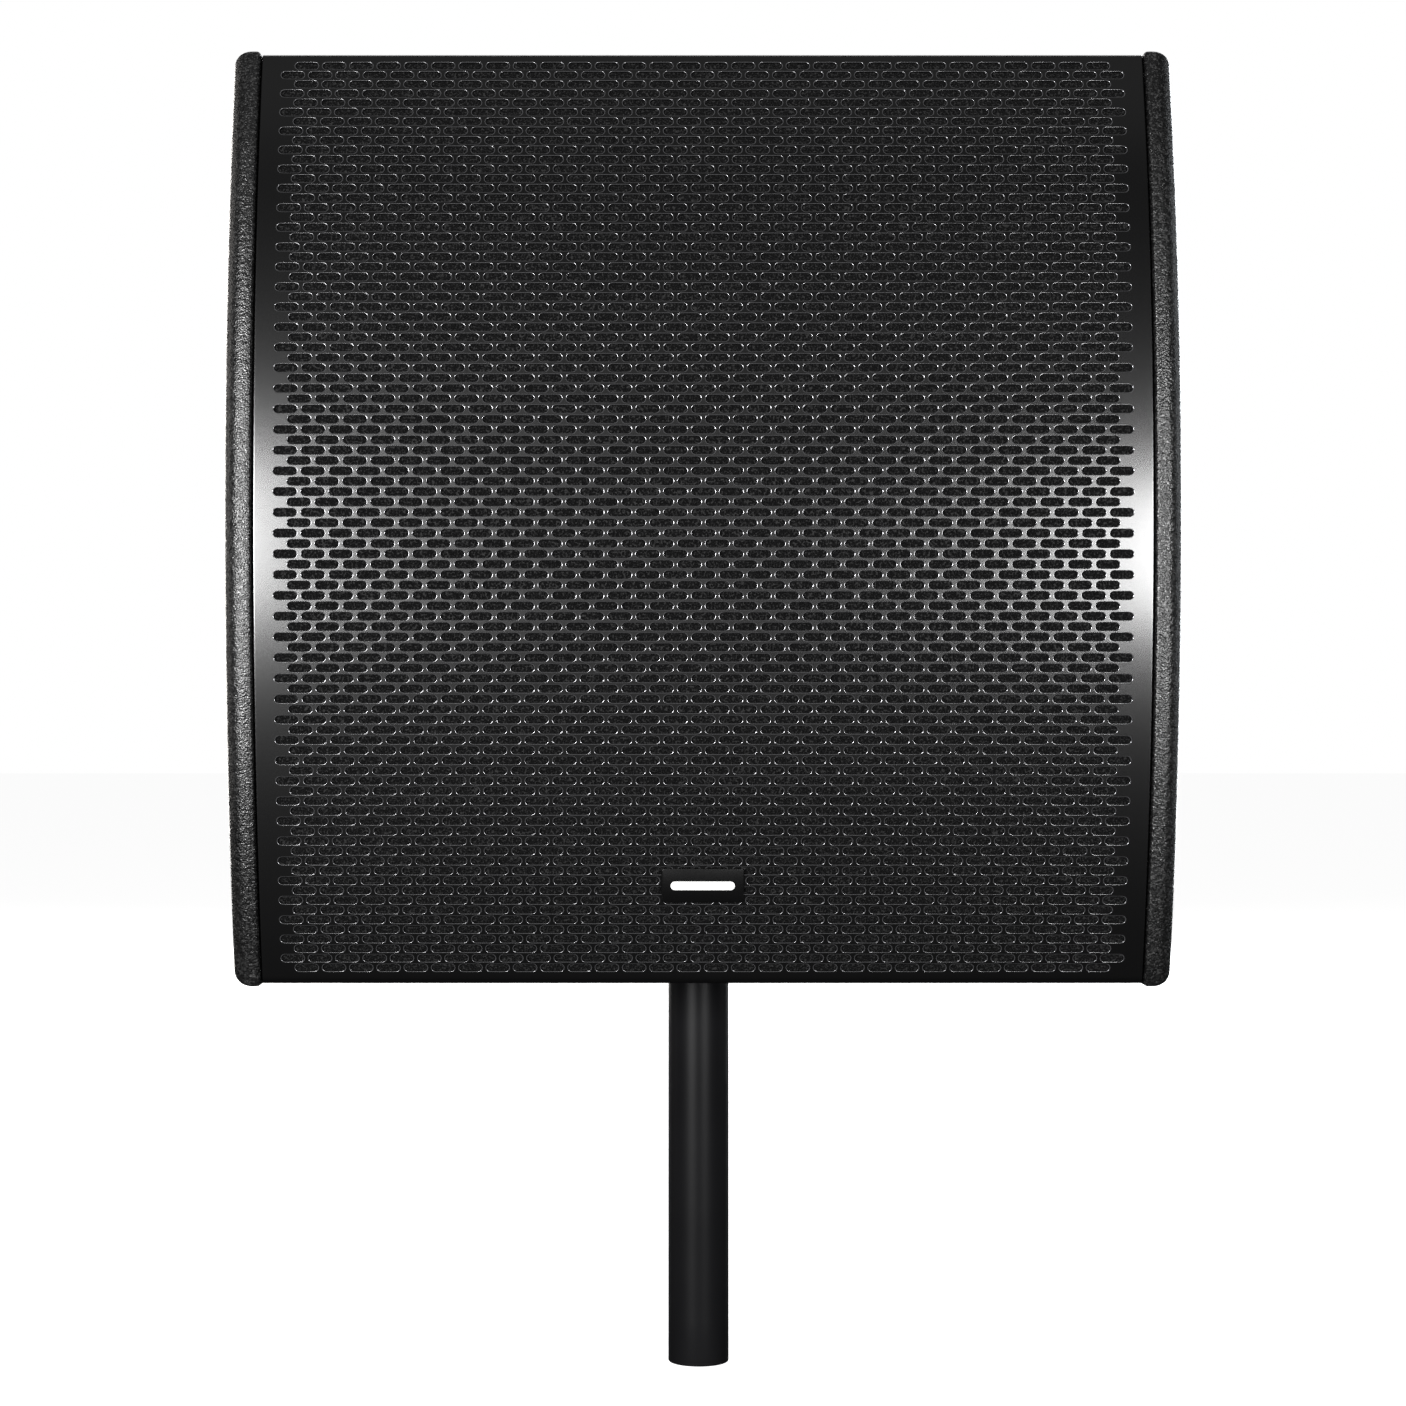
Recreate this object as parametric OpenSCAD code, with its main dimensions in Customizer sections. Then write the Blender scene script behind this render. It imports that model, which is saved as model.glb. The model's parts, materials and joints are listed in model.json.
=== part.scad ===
// Full-range loudspeaker on a pole.
// A birch-ply cabinet with a gently bowed steel grille holds a coaxial driver.
// The pole's lower end face is z = 0, the pole runs along +Z and the grille faces -Y.

/* [Cabinet] */
// Width across the outer faces of the two side panels
cab_w = 500; // [490:5:530]
// Height of the side panels
cab_h = 498; // [490:2:520]
// Radius of the bowed front edge, seen from the side
front_r = 850; // [820:10:950]
// Distance from the pole axis to the foremost point of the front edge
front_reach = 176; // [172:1:182]
// Distance from the pole axis to the rear edge
rear_reach = 169; // [165:1:175]
// Height of the upright rear edge, below the slanted floor face
rear_rise = 190; // [185:1:195]
// How far the top edge's rear end lies in front of the pole axis
crest_lead = 26; // [22:1:30]
// Thickness of each side panel
side_t = 15; // [12:1:18]
// Thickness of the top, bottom, rear and slanted panels
panel_t = 15; // [12:1:16]
// How far those panels sit inside the side panels' outline
panel_inset = 2.7; // [2.5:0.1:3]
// Thickness of the baffle board
baffle_t = 18; // [15:1:18]
// Distance from the pole axis to the baffle's front face
baffle_reach = 126; // [124:1:128]
// Distance from the pole axis to the front edge of the top and bottom panels
panel_front = 130; // [129:0.5:130]
// Width and depth of the battens behind the baffle
batten_w = 18; // [15:1:20]
// Thickness of the damping pads on the walls
lining_t = 13; // [8:1:15]

/* [Grille] */
// Thickness of the grille's sheet
sheet_t = 1.2; // [1:0.1:1.2]
// How far the grille's outer face sits inside the side panels' outline
sheet_inset = 1.5; // [1.5:0.1:1.8]
// Gap between the grille's ends and the side panels
sheet_gap = 0.8; // [0.6:0.1:2]
// Distance from the pole axis to the rear ends of the grille's return flanges
flange_reach = 104; // [100:1:108]
// Thickness of the foam behind the grille
foam_t = 5.8; // [4:0.1:5.8]
// Width of the blank badge plate
badge_w = 44; // [40:1:50]
// Height of the blank badge plate
badge_h = 19; // [16:1:22]
// Thickness of the badge plate
badge_t = 1.0; // [0.8:0.1:1.2]
// Height of the badge's middle below the middle of the front
badge_drop = 194; // [185:1:200]

/* [Coaxial driver] */
// Radius of the driver's mounting flange
driver_r = 194; // [190:1:196]
// Thickness of the mounting flange
driver_flange_t = 4; // [3:0.5:5]
// Radius of the driver's cut-out in the baffle
driver_hole_r = 177; // [176.5:0.5:178]
// Radius of the circle of driver bolts
driver_bolt_r = 185; // [184:0.5:186]
// Number of driver bolts
driver_bolts = 8; // [4:1:12]
// Radius of the ferrite magnet
magnet_r = 84; // [78:1:84]
// Thickness of the ferrite magnet
magnet_t = 22; // [20:1:24]
// Thickness of the front and back plates
plate_t = 10; // [8:1:10]
// Number of windows in the basket
basket_windows = 6; // [4:1:6]

/* [Ports] */
// Inner radius of each port tube
port_r = 33; // [28:1:34]
// Length of each port tube behind the baffle's front face
port_len = 116; // [90:1:120]
// Distance of each port from the middle of the cabinet
port_x = 176; // [174:1:178]
// Distance of each port below the middle of the cabinet
port_drop = 184; // [182:1:186]

/* [Pole] */
// Outer diameter of the pole tube
pole_d = 35; // [34:0.5:35]
// Wall thickness of the pole tube
pole_wall = 2; // [1.5:0.1:2.5]
// Length of the pole below the cabinet
pole_out = 230; // [200:10:600]
// Length of the pole inside the socket, with its cap
pole_in = 90; // [80:1:95]
// Height of the pole's top cap
cap_h = 8; // [6:1:10]
// Diameter of the threaded hole in the pole's foot
thread_d = 17.5; // [14:0.5:20]
// Depth of that hole
thread_depth = 30; // [20:1:34]
// Radial clearance between the pole and its socket
pole_clear = 0.1; // [0.05:0.01:0.1]
// Wall thickness of the socket's cup
socket_wall = 2.4; // [2:0.1:3]
// Radius of the socket's flange
socket_flange_r = 52; // [48:1:56]

/* [Handles] */
// Length of each pocket handle's mouth
pocket_l = 136; // [120:1:140]
// Height of each pocket handle's mouth
pocket_h = 86; // [76:1:90]
// Depth of each pocket
pocket_d = 42; // [36:1:44]
// Wall thickness of each pocket
pocket_wall = 2; // [1.5:0.1:2.5]
// Width of the rim round each pocket's mouth
pocket_rim = 12; // [10:1:14]
// Radius of the grip bar
grip_r = 9; // [8:0.5:10]

/* [Terminals and crossover] */
// Width of the terminal plate
terminal_w = 140; // [130:1:150]
// Height of the terminal plate
terminal_h = 90; // [80:1:92]
// Thickness of the terminal plate
terminal_t = 2; // [1.5:0.1:2]
// Height of the terminal plate's middle above the bottom edge of the sides
terminal_rise = 77; // [72:1:80]
// Distance between the two input sockets
socket_pitch = 56; // [48:1:60]
// Radius of an input socket's bore
input_bore_r = 10; // [9:0.1:10.5]
// Depth of an input socket's bore
input_bore_l = 22; // [18:1:23]
// Width of the crossover board
board_w = 130; // [120:1:140]
// Depth of the crossover board
board_d = 96; // [90:1:100]

/* [Feet] */
// Radius of each rubber foot
foot_r = 15; // [12:1:18]
// Height of each rubber foot
foot_h = 10; // [8:0.5:12]

/* [Hidden] */
$fn = 96;
// Facets of the large drum that bows the front
arc_fn = 720;
// Clearance between parts that would otherwise share a face
slack = 0.1;
// Gap under the parts that lie on the slanted panel
hair = 0.02;

// Side view of the cabinet, in Y and Z
half_w = cab_w / 2;
inner_x = half_w - side_t;
cab_bottom = pole_out;
cab_top = cab_bottom + cab_h;
cab_mid = cab_bottom + cab_h / 2;
arc_y = front_r - front_reach;
rear_y = rear_reach;
knee_z = cab_bottom + rear_rise;
crest_y = -crest_lead;
slant_run = rear_y - crest_y;
slant_rise = cab_top - knee_z;
slant_l = norm([slant_run, slant_rise]);
slant_n = [slant_rise, slant_run] / slant_l;
slant_tilt = atan2(slant_run, slant_rise);
past_front = -front_reach - 30;

// The outline's corners, moved in by d: bottom rear, knee and crest
function slant_level(d) = slant_n[0] * rear_y + slant_n[1] * knee_z - d;
function low_corner(d) = [rear_y - d, cab_bottom + d];
function knee_corner(d) = [rear_y - d, (slant_level(d) - slant_n[0] * (rear_y - d)) / slant_n[1]];
function crest_corner(d) = [(slant_level(d) - slant_n[1] * (cab_top - d)) / slant_n[0], cab_top - d];

wood_out = panel_inset;
wood_in = panel_inset + panel_t;
floor_z = cab_bottom + wood_in;
ceiling_z = cab_top - wood_in;
rear_out_y = rear_y - wood_out;

// Driver stations along its axis, measured forward from the baffle's front face
basket_back = -92;
cone_neck = -62;
cone_edge = -7;
cone_r = 150;
ledge_z = -6;
ledge_r = 166;
spider_seat = -77;
frame_bore_r = driver_hole_r - 4;
magnet_front = basket_back - plate_t;
magnet_back = magnet_front - magnet_t;
plate_back = magnet_back - plate_t;
coil_r = 50;
coil_wall = 0.8;
pole_piece_r = coil_r - 0.6;
gap_r = coil_r + 1.9;
throat_r = 12.7;
horn_throat_r = 19;
horn_mouth_r = 46;
horn_l = 50;
hf_r = 43;
hf_l = 32;
hf_chamber_r = 30;
hf_cover_t = 10;
dome_r = 24;
dome_rise = 8;
dome_t = 0.5;

// Fasteners
outer_screw_x = 190;
inner_screw_x = 65;
screw_head_r = 4;
screw_head_t = 1.5;
sunk_head_r = 3.4;
sunk_head_t = 1.2;
screw_r = 2;
hole_r = screw_r + slack;
bolt_r = 3;
bolt_head_r = 5;

// Handles, sockets, feet and the crossover
pocket_r = 12;
rim_r = 16;
rim_l = pocket_l + 2 * pocket_rim;
rim_h = pocket_h + 2 * pocket_rim;
handle_y = -15;
handle_z = cab_mid + 6;
terminal_z = cab_bottom + terminal_rise;
input_r = 12;
input_l = 28;
input_flange_t = 2.5;
foot_x = 195;
foot_recess_h = 4;
foot_span = [55, slant_l - 55];
board_x = 62;
board_y = 18;
post_h = 8;
board_t = 1.6;
board_z = floor_z + post_h;
board_top = board_z + board_t;
wire_r = 1.8;

// Routes of the leads: each end stops 1 mm short of its terminal
tag_y = rear_out_y + input_flange_t - input_l;
input_route = [
    [socket_pitch / 2, tag_y - 9, terminal_z], [34, 122, cab_bottom + 76], [52, 114, cab_bottom + 68],
    [66, 108, cab_bottom + 52], [73, 106, cab_bottom + 38], [74, 106, board_top + 1]
];
driver_route = [
    [80, 30, board_top + 1], [80, 30, cab_bottom + 42], [76, 32, cab_bottom + 70],
    [62, 34, cab_bottom + 105], [36, 32, cab_bottom + 142], [16, 20, cab_bottom + 168],
    [10, 14, cab_bottom + 180]
];

// Stands a side-view outline (Y, Z) up and gives it a width along X
module along_x(w) {
    rotate([90, 0, 90]) linear_extrude(w, center = true) children();
}

// A drum about the front's own centre line
module front_drum(r, w) {
    translate([0, arc_y, cab_mid]) rotate([0, 90, 0]) cylinder(h = w, r = r, center = true, $fn = arc_fn);
}

// Puts a shape on the driver's axis: its +Z points forward, out of the front
module on_driver() {
    translate([0, -baffle_reach, cab_mid]) rotate([90, 0, 0]) children();
}

// Puts a shape on the slanted face: its +Z points out of the face, at height s up the slope
module on_slant(x, s, d) {
    foot = knee_corner(0) + [-slant_run, slant_rise] / slant_l * s - slant_n * d;
    translate([x, foot[0], foot[1]]) rotate([-90 + slant_tilt, 0, 0]) children();
}

module rounded_rect(w, h, r) {
    square([w - 2 * r, h], center = true);
    square([w, h - 2 * r], center = true);
    for (sx = [-1, 1], sy = [-1, 1])
        translate([sx * (w / 2 - r), sy * (h / 2 - r)]) circle(r, $fn = 32);
}

// A low-headed screw, head outward along +Z
module screw(head_r, head_t, shank_r, shank_l) {
    difference() {
        union() {
            cylinder(h = head_t, r = head_r, $fn = 32);
            translate([0, 0, -shank_l]) cylinder(h = shank_l + head_t / 2, r = shank_r, $fn = 32);
        }
        translate([0, 0, head_t * 0.4]) cylinder(h = head_t, r = head_r * 0.45, $fn = 6);
    }
}

module at_grille_screws() {
    screw_y = -flange_reach - 10;
    for (x = [-outer_screw_x, -inner_screw_x, inner_screw_x, outer_screw_x]) {
        translate([x, screw_y, cab_top - sheet_inset]) children();
        translate([x, screw_y, cab_bottom + sheet_inset]) mirror([0, 0, 1]) children();
    }
}

module at_driver_bolts() {
    on_driver() for (k = [0 : driver_bolts - 1])
        rotate((k + 0.5) * 360 / driver_bolts) translate([driver_bolt_r, 0, 0]) children();
}

module at_socket_screws() {
    screw_circle_r = socket_flange_r - 10;
    for (k = [0 : 3])
        rotate(45 + k * 90) translate([screw_circle_r, 0, cab_bottom + sheet_inset])
            mirror([0, 0, 1]) children();
}

module at_terminal_screws() {
    for (sx = [-1, 1], sz = [-1, 1])
        translate([sx * (terminal_w / 2 - 7), rear_out_y, terminal_z + sz * (terminal_h / 2 - 7)])
            rotate([-90, 0, 0]) children();
}

// side is -1 for the left handle and 1 for the right one; +Z points out of the cabinet
module at_handle(side) {
    translate([side * half_w, handle_y, handle_z]) rotate([90, 0, side * 90]) children();
}

module at_handle_screws(side) {
    at_handle(side) for (sx = [-1, 1], sy = [-1, 1])
        translate([sx * (pocket_l / 2 + pocket_rim / 2), sy * (pocket_h / 2 - 8), -sunk_head_t]) children();
}

module at_feet() {
    for (x = [-foot_x, foot_x], s = foot_span) on_slant(x, s, panel_inset - hair) children();
}

// Lead swept along a smooth curve through its route's points
function curve_at(p, i, t) =
    let(a = p[max(i - 1, 0)], b = p[i], c = p[i + 1], d = p[min(i + 2, len(p) - 1)])
    0.5 * (2 * b + (c - a) * t + (2 * a - 5 * b + 4 * c - d) * t * t + (3 * b - a - 3 * c + d) * t * t * t);
function smooth_route(p, n) = concat(
    [for (i = [0 : len(p) - 2], k = [0 : n - 1]) curve_at(p, i, k / n)], [p[len(p) - 1]]);
function unit(v) = v / norm(v);
function heading(p, i) = unit(p[min(i + 1, len(p) - 1)] - p[max(i - 1, 0)]);
function ring_points(p, i, r, n) =
    let(t = heading(p, i), u = unit(cross(t, [0.3, -1, 0.1])), v = cross(t, u))
    [for (k = [0 : n - 1]) p[i] + r * (cos(360 * k / n) * u + sin(360 * k / n) * v)];

module lead(route, r, steps = 3, sides = 8) {
    path = smooth_route(route, steps);
    last = len(path) - 1;
    polyhedron(
        points = [for (i = [0 : last]) each ring_points(path, i, r, sides)],
        faces = concat(
            [[for (k = [0 : sides - 1]) k]],
            [for (i = [0 : last - 1], k = [0 : sides - 1])
                [i * sides + k, (i + 1) * sides + k,
                    (i + 1) * sides + (k + 1) % sides, i * sides + (k + 1) % sides]],
            [[for (k = [sides - 1 : -1 : 0]) last * sides + k]]
        )
    );
}

// ---- Pole ----

module pole_tube() {
    color("#1b1b1d") difference() {
        cylinder(h = pole_out + pole_in - cap_h, d = pole_d);
        translate([0, 0, -1]) cylinder(h = pole_out + pole_in, r = pole_d / 2 - pole_wall);
    }
}

module pole_foot() {
    plug_h = 40;
    color("silver") difference() {
        cylinder(h = plug_h, r = pole_d / 2 - pole_wall - slack);
        translate([0, 0, -1]) cylinder(h = thread_depth + 1, d = thread_d);
    }
}

module pole_cap() {
    plug_h = 18;
    chamfer = 2;
    seat_z = pole_out + pole_in - cap_h;
    color("#2a2a2c") {
        translate([0, 0, seat_z - plug_h]) cylinder(h = plug_h + 1, r = pole_d / 2 - pole_wall - slack);
        translate([0, 0, seat_z]) cylinder(h = cap_h - chamfer, r = pole_d / 2 - slack);
        translate([0, 0, seat_z + cap_h - chamfer])
            cylinder(h = chamfer - slack / 2, r1 = pole_d / 2 - slack, r2 = pole_d / 2 - chamfer);
    }
}

// ---- Cabinet ----

module side_outline() {
    polygon([
        [past_front, cab_bottom], low_corner(0), knee_corner(0), crest_corner(0), [past_front, cab_top]
    ]);
}

module side_panel(side) {
    mid_x = side * (half_w - side_t / 2);
    difference() {
        intersection() {
            translate([mid_x, 0, 0]) along_x(side_t) side_outline();
            front_drum(front_r, cab_w + 2);
        }
        at_handle(side) translate([0, 0, -side_t - 1])
            linear_extrude(side_t + 2) rounded_rect(pocket_l + 2 * slack, pocket_h + 2 * slack, pocket_r);
        at_handle(side) translate([0, 0, -pocket_wall])
            linear_extrude(pocket_wall + 1) rounded_rect(rim_l + 2 * slack, rim_h + 2 * slack, rim_r);
    }
}

module side_panel_left() { color("#252527") side_panel(-1); }
module side_panel_right() { color("#252527") side_panel(1); }

module top_panel() {
    color("#232325") along_x(2 * inner_x)
        polygon([crest_corner(wood_out), [-panel_front, cab_top - wood_out],
            [-panel_front, ceiling_z], crest_corner(wood_in)]);
}

module bottom_panel() {
    color("#232325") difference() {
        along_x(2 * inner_x)
            polygon([[-panel_front, cab_bottom + wood_out], low_corner(wood_out),
                low_corner(wood_in), [-panel_front, floor_z]]);
        translate([0, 0, cab_bottom]) cylinder(h = 3 * panel_t, r = socket_cup_r() + slack);
    }
}

module rear_panel() {
    color("#232325") difference() {
        along_x(2 * inner_x)
            polygon([
                low_corner(wood_out), knee_corner(wood_out), knee_corner(wood_in), low_corner(wood_in)
            ]);
        translate([0, rear_y, terminal_z]) rotate([90, 0, 0])
            linear_extrude(2 * panel_t) rounded_rect(terminal_w - 28, terminal_h - 28, 8);
        translate([0, rear_out_y + 1, terminal_z]) rotate([90, 0, 0])
            linear_extrude(terminal_t + 1) rounded_rect(terminal_w + 2 * slack, terminal_h + 2 * slack, 8);
    }
}

module slant_panel() {
    color("#232325") along_x(2 * inner_x)
        polygon([
            knee_corner(wood_out), crest_corner(wood_out), crest_corner(wood_in), knee_corner(wood_in)
        ]);
}

module baffle() {
    color("#2b2826") difference() {
        translate([-inner_x, -baffle_reach, floor_z]) cube([2 * inner_x, baffle_t, ceiling_z - floor_z]);
        on_driver() translate([0, 0, -2 * baffle_t]) cylinder(h = 3 * baffle_t, r = driver_hole_r);
        for (side = [-1, 1])
            at_port(side) translate([0, 0, -2 * baffle_t])
                cylinder(h = 3 * baffle_t, r = port_outer_r() + slack);
        at_driver_bolts() translate([0, 0, -2 * baffle_t])
            cylinder(h = 3 * baffle_t, r = bolt_r + slack, $fn = 32);
    }
}

module baffle_battens() {
    gap = 8;
    color("#b58e5e") for (side = [-1, 1])
        translate([side * (inner_x - batten_w / 2), batten_w / 2 + baffle_t - baffle_reach, cab_mid])
            cube([batten_w, batten_w, ceiling_z - floor_z - 2 * gap], center = true);
}

module lining_slant() {
    pad_w = 2 * inner_x - 30;
    pad_l = slant_l - 80;
    color("#5a5d60") on_slant(0, slant_l / 2, wood_in + lining_t / 2 + hair)
        cube([pad_w, pad_l, lining_t], center = true);
}

module lining_sides() {
    pad_l = 200;
    pad_h = 160;
    pad_y = 25;
    pad_rise = 100;
    color("#5a5d60") for (side = [-1, 1])
        translate([side * (inner_x - lining_t / 2), pad_y, cab_bottom + pad_rise])
            cube([lining_t, pad_l, pad_h], center = true);
}

// ---- Grille ----

// Solid behind the grille's outer skin, moved in by d
module grille_block(d, x) {
    intersection() {
        front_drum(front_r - sheet_inset - d, 2 * x);
        translate([-x, past_front, cab_bottom + sheet_inset + d])
            cube([2 * x, 200 + front_reach, cab_h - 2 * sheet_inset - 2 * d]);
    }
}

module grille() {
    x = inner_x - sheet_gap;
    color("#1a1a1b") difference() {
        grille_block(0, x);
        grille_block(sheet_t, x + 1);
        translate([-half_w, -flange_reach, cab_bottom]) cube([cab_w, 400, cab_h]);
        at_grille_screws() cylinder(h = 20, r = hole_r, center = true, $fn = 32);
    }
}

module grille_foam() {
    x = inner_x - 2;
    color("#0d0d0d") difference() {
        grille_block(sheet_t + slack, x);
        front_drum(front_r - sheet_inset - sheet_t - foam_t - slack, cab_w);
    }
}

module grille_screws() {
    color("#3a3a3c") at_grille_screws() screw(screw_head_r, screw_head_t, screw_r, 14);
}

// A flat plate lying on the grille, at the badge's place: +Z points out of the grille
module at_badge() {
    tilt = asin(badge_drop / (front_r - sheet_inset));
    translate([0, arc_y, cab_mid]) rotate([90 + tilt, 0, 0])
        translate([0, 0, front_r - sheet_inset]) children();
}

module badge_plate() {
    color("#141415") at_badge() linear_extrude(badge_t) rounded_rect(badge_w, badge_h, 2.5);
}

module badge_bar() {
    bar_w = 34;
    bar_h = 5;
    bar_t = 0.4;
    end_r = 2.4;
    color("white") at_badge() translate([0, 0, badge_t])
        linear_extrude(bar_t) rounded_rect(bar_w, bar_h, end_r);
}

// ---- Coaxial driver ----

module driver_frame() {
    bolt_hole_r = bolt_r + slack;
    wall = 3.5;
    seat_in_r = 90;
    seat_out_r = 101;
    hub_in_r = 54;
    hub_out_r = 92;
    hub_z = basket_back + 6;
    rim_r = driver_hole_r - 1;
    window = [90, 78, 44];
    window_r = 135;
    window_z = -41;
    color("#2e3033") on_driver() difference() {
        rotate_extrude() polygon([
            [driver_r, 0], [driver_r, driver_flange_t], [frame_bore_r, driver_flange_t],
            [frame_bore_r, ledge_z], [ledge_r, ledge_z], [ledge_r, ledge_z - wall],
            [ledge_r + 3, ledge_z - wall], [seat_out_r, spider_seat + 3], [seat_out_r, spider_seat],
            [seat_in_r, spider_seat], [seat_in_r - 1, hub_z], [hub_in_r, hub_z],
            [hub_in_r, basket_back], [hub_out_r, basket_back], [hub_out_r, basket_back + 4],
            [rim_r, ledge_z - 2], [rim_r, 0]
        ]);
        for (k = [0 : basket_windows - 1])
            rotate(k * 360 / basket_windows) translate([window_r, 0, window_z]) cube(window, center = true);
        for (k = [0 : driver_bolts - 1])
            rotate((k + 0.5) * 360 / driver_bolts) translate([driver_bolt_r, 0, -1])
                cylinder(h = driver_flange_t + 2, r = bolt_hole_r, $fn = 32);
    }
}

module driver_gasket() {
    color("#101010") on_driver() rotate_extrude()
        translate([ledge_r + 1.5, ledge_z + 1]) square([frame_bore_r - ledge_r - 1.6, driver_flange_t + 6.5]);
}

module driver_bolts() {
    color("#2a2a2a") at_driver_bolts() translate([0, 0, driver_flange_t]) screw(bolt_head_r, 3, bolt_r, 26);
}

module woofer_cone() {
    color("#26262a") on_driver() rotate_extrude() polygon([
        [coil_r + coil_wall + slack, cone_neck], [146, cone_edge - 1.2], [cone_r, cone_edge - 1.2],
        [cone_r, cone_edge + 0.9], [145, cone_edge + 0.9], [coil_r + coil_wall + slack, cone_neck + 1.8]
    ]);
}

module voice_coil() {
    winding_l = 18;
    former_back = cone_neck - 50;
    color("#b0793c") on_driver() rotate_extrude() {
        translate([coil_r, former_back]) square([coil_wall, cone_neck - former_back + 2]);
        translate([coil_r + coil_wall / 2, former_back + 4]) square([coil_wall / 2 + 0.5, winding_l]);
    }
}

module woofer_surround() {
    roll_r = 8.5;
    skin = 1;
    roll_mid = 159;
    foot_in = 146;
    foot_out = frame_bore_r - 0.3;
    color("#151515") on_driver() rotate_extrude() {
        translate([foot_in, ledge_z]) square([roll_mid - roll_r + skin - foot_in, skin]);
        translate([roll_mid + roll_r - skin, ledge_z]) square([foot_out - roll_mid - roll_r + skin, skin]);
        translate([roll_mid, ledge_z]) intersection() {
            difference() {
                circle(roll_r);
                circle(roll_r - skin);
            }
            translate([-roll_r, 0]) square([2 * roll_r, roll_r]);
        }
    }
}

module spider() {
    pleat = 6;
    inner = coil_r + coil_wall + slack;
    outer = 98;
    level = spider_seat + slack;
    color("#c9b27a") on_driver() rotate_extrude() {
        translate([inner, level]) square([outer - inner, 0.6]);
        for (r = [inner + pleat : 2 * pleat : outer - 2 * pleat])
            translate([r, level]) square([pleat, 1.8]);
    }
}

module front_plate() {
    color("#7b7d80") on_driver() translate([0, 0, magnet_front]) difference() {
        cylinder(h = plate_t, r = magnet_r + 1);
        translate([0, 0, -1]) cylinder(h = plate_t + 2, r = gap_r);
    }
}

module magnet() {
    color("#3b3b3d") on_driver() translate([0, 0, magnet_back]) difference() {
        cylinder(h = magnet_t, r = magnet_r);
        translate([0, 0, -1]) cylinder(h = magnet_t + 2, r = gap_r + 8);
    }
}

module back_plate() {
    color("#7b7d80") on_driver() difference() {
        union() {
            translate([0, 0, plate_back]) cylinder(h = plate_t, r = magnet_r - 4);
            translate([0, 0, plate_back]) cylinder(h = basket_back - plate_back, r = pole_piece_r);
        }
        translate([0, 0, plate_back - 1])
            cylinder(h = basket_back - plate_back + 2, r1 = throat_r, r2 = horn_throat_r);
    }
}

module driver_terminals() {
    block = [36, 12, 8];
    drop = 62;
    color("#8a1f1f") on_driver() translate([0, -drop, plate_back - block[2] / 2]) cube(block, center = true);
}

module horn() {
    wall = 2.5;
    flange_r = 40;
    function flare(t) = horn_throat_r * pow(horn_mouth_r / horn_throat_r, t);
    color("#1e1e20") on_driver() translate([0, 0, basket_back]) rotate_extrude() polygon(concat(
        [for (t = [0 : 0.1 : 1]) [flare(t), t * horn_l]],
        [for (t = [1 : -0.1 : 0.1]) [flare(t) + wall, t * horn_l]],
        [[flange_r, 3], [flange_r, 0]]
    ));
}

module compression_driver() {
    chamber_l = 16;
    color("#3a3c3f") on_driver() translate([0, 0, plate_back - hf_l]) difference() {
        cylinder(h = hf_l, r = hf_r);
        translate([0, 0, -1]) cylinder(h = chamber_l + 1, r = hf_chamber_r);
        cylinder(h = hf_l + 1, r = throat_r);
    }
}

module horn_diaphragm() {
    ball_r = (dome_r * dome_r + dome_rise * dome_rise) / (2 * dome_rise);
    seat = plate_back - hf_l + dome_rise;
    color("#9aa0a6") on_driver() translate([0, 0, seat]) {
        rotate_extrude() intersection() {
            translate([0, ball_r - dome_rise]) difference() {
                circle(ball_r);
                circle(ball_r - dome_t);
            }
            translate([0, -dome_rise]) square([dome_r, dome_rise]);
        }
        rotate_extrude() translate([dome_r - 1, -dome_t]) square([hf_chamber_r - dome_r, dome_t]);
    }
}

module compression_cover() {
    well = 6;
    color("#232427") on_driver() translate([0, 0, plate_back - hf_l - hf_cover_t]) difference() {
        cylinder(h = hf_cover_t, r = hf_r);
        translate([0, 0, hf_cover_t - well]) cylinder(h = well + 1, r = hf_chamber_r);
    }
}

// ---- Ports ----

function port_outer_r() = port_r + 2.5;

// side is -1 for the left port and 1 for the right one; +Z points forward
module at_port(side) {
    translate([side * port_x, -baffle_reach, cab_mid - port_drop]) rotate([90, 0, 0]) children();
}

module port_tube(side) {
    flange_r = port_r + 8;
    flange_t = 3;
    flare_l = 8;
    flare = 4;
    at_port(side) difference() {
        union() {
            translate([0, 0, -port_len]) cylinder(h = port_len + flange_t, r = port_outer_r());
            cylinder(h = flange_t, r = flange_r);
        }
        translate([0, 0, -port_len - 1]) cylinder(h = port_len + flange_t + 2, r = port_r);
        translate([0, 0, flange_t - flare_l]) cylinder(h = flare_l, r1 = port_r, r2 = port_r + flare);
    }
}

module port_tube_left() { color("#161617") port_tube(-1); }
module port_tube_right() { color("#161617") port_tube(1); }

// ---- Handles ----

module handle_pocket(side) {
    difference() {
        at_handle(side) union() {
            translate([0, 0, -pocket_wall]) linear_extrude(pocket_wall)
                rounded_rect(rim_l, rim_h, rim_r);
            translate([0, 0, -pocket_d])
                linear_extrude(pocket_d) rounded_rect(pocket_l, pocket_h, pocket_r);
        }
        at_handle(side) translate([0, 0, pocket_wall - pocket_d]) linear_extrude(pocket_d)
            rounded_rect(pocket_l - 2 * pocket_wall, pocket_h - 2 * pocket_wall, pocket_r - pocket_wall);
        at_handle_screws(side) {
            cylinder(h = 2 * sunk_head_t, r = sunk_head_r, $fn = 32);
            translate([0, 0, -side_t]) cylinder(h = 2 * side_t, r = hole_r, $fn = 32);
        }
    }
}

module handle_pocket_left() { color("#1c1c1e") handle_pocket(-1); }
module handle_pocket_right() { color("#1c1c1e") handle_pocket(1); }

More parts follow.
